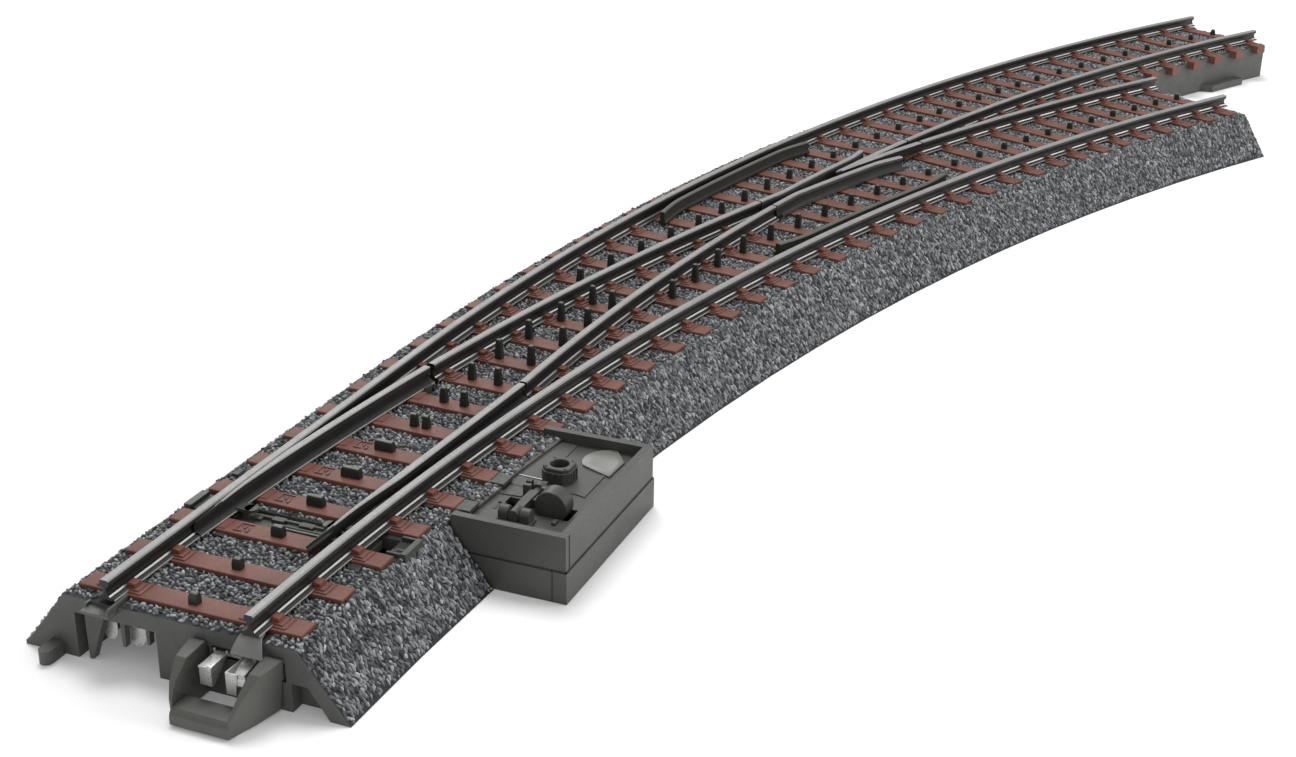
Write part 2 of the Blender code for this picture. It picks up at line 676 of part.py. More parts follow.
spindle = solid("lantern_spindle", drum(LAMP_X, LAMP_Y, 5.8, 8.5, 0.9, 20), STEEL, (LAMP_X, LAMP_Y, 7.0), True)
add(spindle, drum(LAMP_X, LAMP_Y, 5.45, 6.05, 1.95, 20), "disc")
add(spindle, drum(*lamp_pin, 4.1, 5.7, 0.34, 10), "pin")
cut(spindle, box(LAMP_X - 2.0, LAMP_X + 2.0, LAMP_Y - 0.22, LAMP_Y + 0.22, 8.0, 9.0), "slot")

# Near bearing and far bearing of the lever shaft.
bearing = solid("lever_bearing", box(33.5, 35.3, -24.0, -19.6, 7.05, 7.28), HOUSING)
EAR = [(33.7, 7.2), (35.1, 7.2), (35.1, 8.2), (34.85, 8.6), (34.4, 8.75), (33.95, 8.6), (33.7, 8.2)]
add(bearing, joined(*[loft([[(x, y, z) for x, z in EAR] for y in ends]) for ends in ((-23.75, -22.5), (-21.1, -19.85))]), "ears")
far = solid("lever_far_bearing", box(39.6, 40.2, LEVER_Y - 1.6, LEVER_Y + 1.6, 7.05, 8.9), HOUSING)
cut(far, box(39.0, 41.0, LEVER_Y - 0.7, LEVER_Y + 0.7, LEVER_Z - 0.7, 9.5), "notch")
insert = solid("tray_step", prism([(48.6, -27.3), (52.9, -27.5), (55.1, -24.6), (54.3, -23.2), (52.4, -22.6), (50.3, -23.4)], 7.1, 7.35), HOUSING)

# Leaf spring beside the drive link's lower peg.
leaf = []
for y, dx in ((-26.5, 0.0), (-23.6, 0.0), (-22.9, 0.35), (-21.9, 0.95), (-21.0, 0.35), (-20.3, 0.0), (-18.0, 0.0)):
    leaf.append((39.75 - dx, y))
leaf_section = [(-0.12, 1.9), (0.12, 1.9), (0.12, 4.1), (-0.12, 4.1)]
stations = []
for i, (x, y) in enumerate(leaf):
    a, b = leaf[max(0, i - 1)], leaf[min(len(leaf) - 1, i + 1)]
    d = math.hypot(b[0] - a[0], b[1] - a[1])
    stations.append((x, y, (b[0] - a[0]) / d, (b[1] - a[1]) / d))
spring = solid("detent_spring", sweep(stations, leaf_section), SPRING)
add(spring, box(39.2, 41.2, -27.2, -26.2, 1.1, 4.0), "foot")

# ---------------------------------------------------------------------- frog
THROAT = 2.35


def upper_wing(x):
    flare = 0.8 * max(0.0, (x - 178.0) / 5.4) ** 1.3
    return max(y_a(x), y_b(x) + THROAT) + flare


def lower_wing(x):
    flare = 0.8 * max(0.0, (x - 177.0) / 5.1) ** 1.3
    return min(y_b(x), y_a(x) - THROAT) - flare


def band(fn, x0, x1, half_up, half_down, step=4.0, slope=-0.25):
    k = math.hypot(1, slope)
    xs = spread(x0, x1, step)
    up = [(x, fn(x) + half_up * k) for x in xs]
    dn = [(x, fn(x) - half_down * k) for x in reversed(xs)]
    return dn[::-1][0:0] + up + dn


frog_xs = spread(147.8, 183.4, 4.0)
floor_outline = [(x, upper_wing(x) + 1.15) for x in frog_xs] + [(x - 0.6, lower_wing(x - 0.6) - 1.15) for x in reversed(frog_xs)]
frog = solid("frog_casting", prism(floor_outline, 8.05, 8.6), FROG)
wings = joined(
    prism(band(upper_wing, 147.8 + 0.01, 183.4 - 0.01, HEAD_HALF, HEAD_HALF), 8.3, RAIL_TOP),
    prism(band(lower_wing, 147.8 - 0.55, 182.7, HEAD_HALF, HEAD_HALF), 8.3, RAIL_TOP),
)
add(frog, wings, "wings")

TIP_X = 168.8
CROTCH_X = 182.0
nose_outline = [(TIP_X, y_b(TIP_X) + 0.35 * 1.03)]
nose_outline += [(x, y_b(x) + 0.515) for x in spread(TIP_X + 1.2, LEG_X, 4.5)]
nose_outline += [(x, y_b(x) - 0.515) for x in spread(LEG_X, CROTCH_X, 4.5)]
nose_outline += [(x, y_a(x) + 0.54) for x in spread(CROTCH_X + 0.02, LEG_X, 4.5)]
nose_outline += [(x, y_a(x) - 0.54) for x in spread(LEG_X, TIP_X + 1.2, 4.5)]
nose_outline += [(TIP_X, y_a(TIP_X) - 0.35 * 1.06)]
nose = solid("frog_nose", prism(nose_outline, 8.72, RAIL_TOP), FROG)


# --------------------------------------------------------------- guard rails
def guard(route, s0, s1, rail_off, inward):
    """A check rail beside a stock rail, flared at both ends."""
    ss = spread(s0, s1, 5)
    pts = []
    for s in ss:
        edge = min(s - s0, s1 - s)
        off = 2.35 + 1.1 * max(0.0, 1 - edge / 8.0) ** 1.5
        pts.append(route(s, rail_off + inward * off))
    section = [(-0.75, 8.05), (0.75, 8.05), (0.42, 8.6), (0.42, 10.1), (-0.42, 10.1), (-0.42, 8.6)]
    return sweep(pts, section)


solid("guard_rail_outer", guard(outer, 135.2, 184.9, HALF_GAUGE, -1), FITTING)
solid("guard_rail_inner", guard(inner, 131.6, 182.4, -HALF_GAUGE, 1), FITTING)

# ------------------------------------------------------------- end fittings
HOOK_OUT = 7.0  # how far the hook reaches


def cheek(left, right):
    """A side plate of the hook: (back, front) v of its two faces."""
    profile = [(0.3, 0.2), (0.3, 6.3), (3.5, 6.0), (5.0, 4.2), (HOOK_OUT, 2.0), (HOOK_OUT, 0.2)]

    def v(u, ends):
        return ends[0] + (ends[1] - ends[0]) * max(0.0, u - 3.5) / (HOOK_OUT - 3.5)

    return loft([[(u, v(u, ends), z) for u, z in profile] for ends in (left, right)])


TONGUE = [(-2.2, 3.6), (-2.2, 5.3), (0.8, 5.3), (0.8, 3.6)]
LIP = [(3.9, 0.25), (3.9, 1.85), (4.3, 2.0), (5.9, 1.9), (6.55, 1.5), (6.9, 0.8), (6.9, 0.25)]
CONTACT = [(-1.5, 4.8), (-1.5, 5.35), (0.3, 5.35), (2.25, 4.55), (2.75, 2.3), (2.4, 2.25), (1.95, 4.2), (0.2, 4.8)]
for e, frame in ENDS.items():
    latch = solid(f"{e}_latch", placed(cheek((2.3, 3.6), (3.4, 4.6)), frame), FITTING)
    add(latch, placed(across(LIP, 3.9, 9.9), frame), "lip")
    add(latch, placed(cheek((11.6, 9.1), (12.8, 10.1)), frame), "far_cheek")
    add(latch, joined(*[placed(across(TONGUE, v0, v0 + 1.1), frame) for v0 in (2.35, 11.3)]), "tongues")
    spring_strip = solid(f"{e}_centre_contact", placed(across(CONTACT, 4.4, 6.0), frame), SPRING)
    add(spring_strip, placed(across(CONTACT, 7.6, 9.3), frame), "second")
    add(spring_strip, placed(box(-2.2, -1.3, 4.53, 9.17, 4.93, 5.24), frame), "yoke")
    cut(spring_strip, placed(box(0.9, 2.2, 8.0, 8.9, 4.4, 6.0), frame), "trough")
    for side, v in (("left", HALF_GAUGE), ("right", -HALF_GAUGE)):
        solid(f"{e}_{side}_joiner", placed(box(-1.85, 1.7, v - 1.5, v + 1.5, 7.5, 7.85), frame), SPRING)

# ---------------------------------------------------- strips, cover, screws
strip = solid("rail_link_strip", box(13.9, 15.7, -10.0, 9.8, 3.9, 4.4), SPRING)
add(strip, joined(box(14.4, 15.2, 8.35, 9.15, 4.2, 7.8), box(14.4, 15.2, -9.4, -8.6, 4.2, 7.8)), "prongs")
cover = solid("mechanism_cover", box(20.95, 47.0, -12.3, 12.3, 0.55, 1.4), HOUSING)
cut(cover, joined(*[drum(x, y, 0.0, 2.0, 0.85, 12) for x, y in SCREWS]), "holes")
for i, (x, y) in enumerate(SCREWS, 1):
    screw = solid(f"cover_screw_{i}", drum(x, y, 0.3, 4.6, 0.62, 10), STEEL, (x, y, 0.0), True)
    add(screw, drum(x, y, 0.05, 0.4, 1.5, 14), "head")

# Dark guide on the left shoulder at the end of the throw bar.
guide = solid("throw_bar_cap", prism([(21.2, 11.6), (24.4, 11.6), (24.4, 14.1), (21.2, 14.1)], 7.5, 8.3, [(21.4, 11.8), (24.2, 11.8), (24.2, 13.9), (21.4, 13.9)]), FITTING)
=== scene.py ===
"""Looks for the curved model railway turnout. Lengths below are millimetres in
the track frame of the design (origin at the toe end), unless a name says metres."""

import math

import bmesh
import bpy
import numpy as np
from mathutils import Matrix, Vector


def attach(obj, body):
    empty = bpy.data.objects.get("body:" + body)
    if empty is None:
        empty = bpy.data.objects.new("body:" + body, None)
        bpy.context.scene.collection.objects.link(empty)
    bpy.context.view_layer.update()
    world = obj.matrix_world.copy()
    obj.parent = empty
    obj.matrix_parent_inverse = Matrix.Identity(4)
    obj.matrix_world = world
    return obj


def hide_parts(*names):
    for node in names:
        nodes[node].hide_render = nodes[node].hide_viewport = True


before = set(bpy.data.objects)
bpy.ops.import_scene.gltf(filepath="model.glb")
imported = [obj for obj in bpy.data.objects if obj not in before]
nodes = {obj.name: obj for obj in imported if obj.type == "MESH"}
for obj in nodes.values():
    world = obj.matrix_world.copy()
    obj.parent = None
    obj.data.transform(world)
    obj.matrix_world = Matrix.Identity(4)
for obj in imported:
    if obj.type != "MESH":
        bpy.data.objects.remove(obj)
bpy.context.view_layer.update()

CX, CY = 163.4, -33.2
RADIUS, LEAD, HALF_GAUGE = 515.0, 64.3, 8.75
SWEEP = math.radians(30.0)
CREST, BASE, BED_TOP, CUT_WALL = 14.2, 20.0, 7.4, 12.0
RAIL_TOP = 10.3
OUTER_END = LEAD + RADIUS * SWEEP
INNER_END = RADIUS * SWEEP
PIVOT_X, BLADE_TIP, THROW_X = 61.5, 15.2, 22.7
THROW = math.radians(2.77)
LEVER_Y, LEVER_Z = -21.8, 7.9
LAMP_X, LAMP_Y = 46.2, -21.9
TIES_OUTER = ((0, 3.3), (27, 217.6), (33, 262.3), (41, 330.4))
TIES_INNER = ((0, 3.5), (26, 209.3), (34, 266.0))
LONG_TIES = 24
TIE_HALF, TIE_W = 13.5, 2.86


# ---------------------------------------------------------------- plan curves
def outer(s, off=0.0):
    if s <= LEAD:
        return s, off, 1.0, 0.0
    a = (s - LEAD) / RADIUS
    r = RADIUS + off
    return LEAD + r * math.sin(a), -RADIUS + r * math.cos(a), math.cos(a), -math.sin(a)


def inner(s, off=0.0):
    a = s / RADIUS
    r = RADIUS + off
    return r * math.sin(a), -RADIUS + r * math.cos(a), math.cos(a), -math.sin(a)


def outer_v(s, off):
    a = np.maximum(0.0, s - LEAD) / RADIUS
    r = RADIUS + off
    return np.minimum(s, LEAD) + r * np.sin(a), -RADIUS + r * np.cos(a), a


def inner_v(s, off):
    a = s / RADIUS
    r = RADIUS + off
    return r * np.sin(a), -RADIUS + r * np.cos(a), a


def outer_sd(x, y):
    """Length along the outer route and offset to its left, for arrays."""
    a = np.arctan2(np.maximum(x - LEAD, 0.0), y + RADIUS)
    s = np.where(x < LEAD, x, LEAD + RADIUS * a)
    d = np.where(x < LEAD, y, np.hypot(x - LEAD, y + RADIUS) - RADIUS)
    return s, d


def inner_sd(x, y):
    return RADIUS * np.arctan2(x, y + RADIUS), np.hypot(x, y + RADIUS) - RADIUS


def y_a(x):
    return -RADIUS + math.sqrt((RADIUS + HALF_GAUGE) ** 2 - x * x)


def y_b(x):
    if x <= LEAD:
        return -HALF_GAUGE
    return -RADIUS + math.sqrt((RADIUS - HALF_GAUGE) ** 2 - (x - LEAD) ** 2)


def y_right_stock(x):
    return -RADIUS + math.sqrt((RADIUS - HALF_GAUGE) ** 2 - x * x)


def on_a(x):
    a = math.asin(x / (RADIUS + HALF_GAUGE))
    return x, y_a(x), math.cos(a), -math.sin(a)


def on_b(x):
    if x <= LEAD:
        return x, y_b(x), 1.0, 0.0
    a = math.asin((x - LEAD) / (RADIUS - HALF_GAUGE))
    return x, y_b(x), math.cos(a), -math.sin(a)


def spread(a, b, step):
    n = max(1, math.ceil(abs(b - a) / step))
    return [a + (b - a) * i / n for i in range(n + 1)]


def tie_s(table, k):
    for (k0, s0), (k1, s1) in zip(table, table[1:]):
        if k <= k1:
            return s0 + (s1 - s0) * (k - k0) / (k1 - k0)
    return table[-1][1]


ENDS = {"toe": (0.0, 0.0, -1.0, 0.0), "outer": outer(OUTER_END), "inner": inner(INNER_END)}


# ------------------------------------------------------------------ materials
def new_material(name):
    made = bpy.data.materials.new(name)
    made.use_nodes = True
    tree = made.node_tree
    return made, tree.nodes, tree.links, tree.nodes["Principled BSDF"]


def noise(nodes_, links, coord, scale, detail=3.0, rough=0.55):
    n = nodes_.new("ShaderNodeTexNoise")
    n.inputs["Scale"].default_value = scale
    n.inputs["Detail"].default_value = detail
    n.inputs["Roughness"].default_value = rough
    links.new(coord.outputs["Object"], n.inputs["Vector"])
    return n


def ramp(nodes_, links, source, stops):
    r = nodes_.new("ShaderNodeValToRGB")
    while len(r.color_ramp.elements) < len(stops):
        r.color_ramp.elements.new(0.5)
    for element, (pos, colour) in zip(r.color_ramp.elements, stops):
        element.position = pos
        element.color = (*colour, 1.0)
    links.new(source, r.inputs["Fac"])
    return r


def moulded(name, base, rough=0.5, vary=0.14, metallic=0.0, scale=500.0, bump=0.2, fine=9000.0, spec=0.5, rough_vary=0.1):
    """A moulded, rolled or cast surface: broad tone drift, fine grain and uneven gloss."""
    m, n, links, shader = new_material(name)
    coord = n.new("ShaderNodeTexCoord")
    broad = noise(n, links, coord, scale, 4.0)
    lo = tuple(c * (1 - vary) for c in base)
    hi = tuple(min(1.0, c * (1 + vary)) for c in base)
    colour = ramp(n, links, broad.outputs["Fac"], [(0.3, lo), (0.7, hi)])
    links.new(colour.outputs["Color"], shader.inputs["Base Color"])
    grain = noise(n, links, coord, fine, 2.0)
    gloss = n.new("ShaderNodeMapRange")
    gloss.inputs["From Min"].default_value = 0.3
    gloss.inputs["From Max"].default_value = 0.7
    gloss.inputs["To Min"].default_value = max(0.05, rough - rough_vary)
    gloss.inputs["To Max"].default_value = min(1.0, rough + rough_vary)
    links.new(grain.outputs["Fac"], gloss.inputs["Value"])
    links.new(gloss.outputs["Result"], shader.inputs["Roughness"])
    shader.inputs["Metallic"].default_value = metallic
    shader.inputs["Specular IOR Level"].default_value = spec
    b = n.new("ShaderNodeBump")
    b.inputs["Strength"].default_value = bump
    b.inputs["Distance"].default_value = 0.00003
    links.new(grain.outputs["Fac"], b.inputs["Height"])
    links.new(b.outputs["Normal"], shader.inputs["Normal"])
    return m


def gravel(name):
    """Ballast: each grain carries its own tone, mottled and roughened."""
    m, n, links, shader = new_material(name)
    coord = n.new("ShaderNodeTexCoord")
    tone = n.new("ShaderNodeAttribute")
    tone.attribute_name = "grain"
    speck = noise(n, links, coord, 3800.0, 3.0, 0.7)
    shade = ramp(n, links, speck.outputs["Fac"], [(0.32, (0.62, 0.62, 0.63)), (0.68, (1.2, 1.2, 1.2))])
    mix = n.new("ShaderNodeMix")
    mix.data_type = "RGBA"
    mix.blend_type = "MULTIPLY"
    mix.inputs["Factor"].default_value = 1.0
    links.new(tone.outputs["Color"], mix.inputs["A"])
    links.new(shade.outputs["Color"], mix.inputs["B"])
    links.new(mix.outputs["Result"], shader.inputs["Base Color"])
    shader.inputs["Roughness"].default_value = 0.62
    shader.inputs["Specular IOR Level"].default_value = 0.35
    b = n.new("ShaderNodeBump")
    b.inputs["Strength"].default_value = 0.35
    b.inputs["Distance"].default_value = 0.00004
    links.new(speck.outputs["Fac"], b.inputs["Height"])
    links.new(b.outputs["Normal"], shader.inputs["Normal"])
    return m


BALLAST = gravel("ballast_grains")
BED = moulded("bed_plastic", (0.078, 0.081, 0.075), 0.6, 0.12)
TIE = moulded("tie_brown", (0.165, 0.064, 0.046), 0.52, 0.13, scale=200.0, bump=0.25, fine=5200.0, spec=0.35)
TIE_DARK = moulded("tie_brown_chair", (0.155, 0.056, 0.04), 0.48, 0.12, scale=300.0, bump=0.2, spec=0.4)
# Rail metal in lit and shaded copies: painted light on the head top and foot, painted shade on the flanks and web.
RAIL_TOP_LIT = moulded("rail_head_painted_light", (0.3, 0.297, 0.291), 0.48, 0.1, 0.35, scale=240.0, bump=0.05, fine=4000.0, spec=0.4)
RAIL_FLANK_SHADED = moulded("rail_flank_painted_shade", (0.032, 0.031, 0.03), 0.45, 0.16, 0.3, scale=300.0, bump=0.05)
RAIL_WEB_SHADED = moulded("rail_web_painted_shade", (0.015, 0.0145, 0.014), 0.45, 0.2, 0.2, scale=300.0, bump=0.1)
RAIL_FOOT_LIT = moulded("rail_foot_painted_highlight", (0.62, 0.61, 0.58), 0.34, 0.06, 0.35, scale=300.0, bump=0.03)
PLASTIC = moulded("housing_plastic", (0.058, 0.06, 0.053), 0.48, 0.1, scale=220.0, bump=0.25, fine=7000.0)
PLASTIC_2 = moulded("fitting_plastic", (0.052, 0.053, 0.046), 0.42, 0.1, scale=260.0, bump=0.2, fine=7000.0)
FITTING = moulded("hook_plastic", (0.084, 0.085, 0.076), 0.44, 0.1, scale=260.0, bump=0.2, fine=7000.0)
PLATE = moulded("throw_plate", (0.05, 0.054, 0.045), 0.5, 0.18, scale=500.0, bump=0.3)
BLACK = moulded("black_plastic", (0.018, 0.019, 0.017), 0.45, 0.18, scale=320.0, bump=0.25)
STUD = moulded("stud_black", (0.016, 0.018, 0.015), 0.4, 0.2, scale=600.0, bump=0.3)
# The stud tops are painted lighter than the studs: a painted highlight on top faces.
STUD_TOP_HIGHLIGHT = moulded("stud_top_painted_highlight", (0.1, 0.1, 0.088), 0.42, 0.22, 0.3, scale=900.0, bump=0.3)
GUARD = moulded("guard_plastic", (0.026, 0.027, 0.021), 0.5, 0.16, scale=260.0, bump=0.2, spec=0.3)
# The guard tops are the same dark plastic painted lighter: a painted highlight on top faces.
GUARD_TOP_HIGHLIGHT = moulded("guard_top_painted_highlight", (0.085, 0.08, 0.066), 0.45, 0.16, 0.2, scale=300.0, bump=0.2)
FROGM = moulded("frog_metal", (0.17, 0.17, 0.168), 0.4, 0.1, 0.8, scale=350.0, bump=0.2)
SPRING = moulded("contact_strip", (0.52, 0.52, 0.51), 0.34, 0.16, 0.7, scale=900.0, bump=0.06, fine=3000.0)
STEEL = moulded("steel_pin", (0.45, 0.45, 0.44), 0.33, 0.08, 1.0, scale=400.0, bump=0.15)
RAMP = moulded("rail_end_plate", (0.19, 0.19, 0.183), 0.4, 0.1, 0.2, scale=300.0, bump=0.1)
# Pale glossy colour painted on the dish as a reflection.
DISH_REFLECTION = moulded("dish_painted_reflection", (0.2, 0.2, 0.185), 0.34, 0.1, scale=300.0, bump=0.15)


# -------------------------------------------------------------- mesh builders
def prism(outline, z0, z1, top=None):
    top = top or outline
    n = len(outline)
    v = [(x, y, z0) for x, y in outline] + [(x, y, z1) for x, y in top]
    f = [tuple(range(n)), tuple(range(n, 2 * n))]
    f += [(i, (i + 1) % n, n + (i + 1) % n, n + i) for i in range(n)]
    return v, f


def block(x0, x1, y0, y1, z0, z1):
    return prism([(x0, y0), (x1, y0), (x1, y1), (x0, y1)], z0, z1)


def loft(rings):
    n = len(rings[0])
    v = [p for ring in rings for p in ring]
    f = [tuple(range(n)), tuple(range((len(rings) - 1) * n, len(rings) * n))]
    for k in range(len(rings) - 1):
        a, b = k * n, (k + 1) * n
        f += [(a + i, a + (i + 1) % n, b + (i + 1) % n, b + i) for i in range(n)]
    return v, f


def sweep(stations, section):
    return loft([[(x - n * hy, y + n * hx, z) for n, z in section] for x, y, hx, hy in stations])


def drum(x, y, z0, z1, r, n=40, r1=None):
    r1 = r if r1 is None else r1
    ring = [(math.cos(2 * math.pi * i / n), math.sin(2 * math.pi * i / n)) for i in range(n)]
    return prism([(x + r * c, y + r * s) for c, s in ring], z0, z1, [(x + r1 * c, y + r1 * s) for c, s in ring])


def drum_x(x0, x1, y, z, r, n=48):
    return loft([[(x, y + r * math.cos(2 * math.pi * i / n), z + r * math.sin(2 * math.pi * i / n)) for i in range(n)] for x in (x0, x1)])


def placed(shape, frame_):
    """A shape given as (out, left, up) carried to an end (x, y, hx, hy)."""
    x, y, hx, hy = frame_
    v, f = shape
    return [(x + u * hx - w * hy, y + u * hy + w * hx, z) for u, w, z in v], f


def across(profile, v0, v1):
    return loft([[(u, v, z) for u, z in profile] for v in (v0, v1)])


def at_point(shape, x, y, hx, hy):
    """A shape given about the origin, with its x axis turned to (hx, hy)."""
    v, f = shape
    return [(x + a * hx - b * hy, y + a * hy + b * hx, z) for a, b, z in v], f


def turned(shape, px, py, angle):
    c, s = math.cos(angle), math.sin(angle)
    v, f = shape
    return [(px + (x - px) * c - (y - py) * s, py + (x - px) * s + (y - py) * c, z) for x, y, z in v], f


def piece(name, shapes, mats, body="base", replaces=(), bevel=0.0, segments=2, smooth=35.0, angle=30.0):
    """One object from (shape, material index or function of face centre and normal)."""
    verts, faces, index = [], [], []
    for shape, which in shapes:
        v, f = shape
        base = len(verts)
        verts += v
        faces += [tuple(base + i for i in face) for face in f]
        index += [which] * len(f)
    mesh = bpy.data.meshes.new(name)
    mesh.from_pydata([((x - CX) * 0.001, (y - CY) * 0.001, z * 0.001) for x, y, z in verts], [], faces)
    bm = bmesh.new()
    bm.from_mesh(mesh)
    bmesh.ops.recalc_face_normals(bm, faces=bm.faces)
    bm.to_mesh(mesh)
    bm.free()
    for m in mats:
        mesh.materials.append(m)
    ids = []
    for p, which in zip(mesh.polygons, index):
        ids.append(which(p.center, p.normal) if callable(which) else which)
    mesh.polygons.foreach_set("material_index", ids)
    mesh.shade_smooth()
    mesh.set_sharp_from_angle(angle=math.radians(smooth))
    made = bpy.data.objects.new(name, mesh)
    bpy.context.scene.collection.objects.link(made)
    if bevel:
        b = made.modifiers.new("edge", "BEVEL")
        b.width = bevel * 0.001
        b.segments = segments
        b.limit_method = "ANGLE"
        b.angle_limit = math.radians(angle)
        b.harden_normals = False
    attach(made, body)
    if replaces:
        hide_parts(*replaces)
    return made


def paint(name, material, bevel=0.0, segments=2):
    """A finish, and softened edges, for a CAD node that stays."""
    obj = nodes[name]
    obj.data.materials.clear()
    obj.data.materials.append(material)
    if bevel:
        b = obj.modifiers.new("edge", "BEVEL")
        b.width = bevel * 0.001
        b.segments = segments
        b.limit_method = "ANGLE"
        b.angle_limit = math.radians(40)


# ------------------------------------------------------------------ the ties
def clip_off(route, other, s, side):
    off = TIE_HALF
    while off > 3.0:
        x, y, _, _ = route(s, side * off)
        best = min(math.hypot(x - p[0], y - p[1]) for p in (other(q) for q in spread(s - 30, s + 30, 1.0)))
        if best > off + 0.35:
            return off
        off -= 0.25
    return off


def split_s():
    ex, ey = RADIUS * math.sin(SWEEP), -RADIUS + RADIUS * math.cos(SWEEP)
    lo, hi = LEAD, OUTER_END
    for _ in range(60):
        mid = (lo + hi) / 2
        x, y, _, _ = outer(mid)
        if (x - ex) * math.cos(SWEEP) - (y - ey) * math.sin(SWEEP) > 0:
            hi = mid
        else:
            lo = mid
    return lo


S_SPLIT = split_s()
ties = []  # (end p, end q, routes it carries, tie number)
for k in range(LONG_TIES):
    ties.append((outer(tie_s(TIES_OUTER, k), TIE_HALF)[:2], inner(tie_s(TIES_INNER, k), -TIE_HALF)[:2], "both", k))
for k in range(LONG_TIES, 42):
    s = tie_s(TIES_OUTER, k)
    near = clip_off(outer, inner, s, -1) if s < S_SPLIT - 20 else TIE_HALF
    ties.append((outer(s, TIE_HALF)[:2], outer(s, -near)[:2], "outer", k))
for k in range(LONG_TIES, 35):
    s = tie_s(TIES_INNER, k)
    ties.append((inner(s, clip_off(inner, outer, s, 1))[:2], inner(s, -TIE_HALF)[:2], "inner", k))


def tie_frame(p, q):
    d = math.hypot(q[0] - p[0], q[1] - p[1])
    return (q[0] - p[0]) / d, (q[1] - p[1]) / d, d


def tie_shape(p, q, k, which):
    ux, uy, d = tie_frame(p, q)
    nx, ny = -uy, ux
    w, e = TIE_W / 2, 0.04
    p = (p[0] - ux * e, p[1] - uy * e)
    q = (q[0] + ux * e, q[1] + uy * e)
    low = 6.2 if which == "outer" and tie_s(TIES_OUTER, k) > S_SPLIT - 5 else 6.9
    out = []
    for z, g in ((low, 0.06), (7.88, 0.0), (7.94, -0.1)):
        ww, gg = w + g, g
        out.append([(p[0] + nx * ww - ux * gg, p[1] + ny * ww - uy * gg, z), (q[0] + nx * ww + ux * gg, q[1] + ny * ww + uy * gg, z), (q[0] - nx * ww + ux * gg, q[1] - ny * ww + uy * gg, z), (p[0] - nx * ww - ux * gg, p[1] - ny * ww - uy * gg, z)])
    return loft(out)


def rail_distance(name, x, y):
    if name == "left":
        return outer_sd(np.array(x), np.array(y))[1] - HALF_GAUGE
    if name == "b":
        return outer_sd(np.array(x), np.array(y))[1] + HALF_GAUGE
    if name == "a":
        return inner_sd(np.array(x), np.array(y))[1] - HALF_GAUGE
    return inner_sd(np.array(x), np.array(y))[1] + HALF_GAUGE


def crossings(p, q, which):
    """Where a tie meets each rail: (rail, x, y, rail heading)."""
    names = {"both": ("left", "a", "b", "right"), "outer": ("left", "b"), "inner": ("a", "right")}[which]
    t = np.linspace(0.0, 1.0, 400)
    xs, ys = p[0] + (q[0] - p[0]) * t, p[1] + (q[1] - p[1]) * t
    found = []
    for name in names:
        d = rail_distance(name, xs, ys)
        hit = np.nonzero(np.sign(d[:-1]) != np.sign(d[1:]))[0]
        if not len(hit):
            continue
        x, y = float(xs[hit[0]]), float(ys[hit[0]])
        if name in "ab" and (x < PIVOT_X + 1.5 or 146.5 < x < 184.5):
            continue
        a = math.atan2(x - (LEAD if name in ("left", "b") else 0.0), y + RADIUS)
        if name in ("left", "b") and x < LEAD:
            a = 0.0
        found.append((name, x, y, math.cos(a), -math.sin(a)))
    return found


def chair(side):
    """A rail chair: a low plate, a raised pad and the clip block at the foot."""
    s = side
    plate = loft([[(-1.15, s * 0.7, z), (1.15, s * 0.7, z), (1.15 - g, s * (2.75 - g), z), (-1.15 + g, s * (2.75 - g), z)] for z, g in ((7.9, 0.0), (8.06, 0.0), (8.12, 0.08))])
    pad = loft([[(-0.85, s * 0.7, z), (0.85, s * 0.7, z), (0.85 - g, s * (2.3 - g), z), (-0.85 + g, s * (2.3 - g), z)] for z, g in ((8.1, 0.0), (8.24, 0.0), (8.3, 0.06))])
    clip = loft([[(-w, s * 0.75, z), (w, s * 0.75, z), (w, s * yy, z), (-w, s * yy, z)] for z, yy, w in ((8.2, 1.78, 0.62), (8.72, 1.72, 0.6), (8.8, 1.62, 0.52))])
    return [plate, pad, clip]


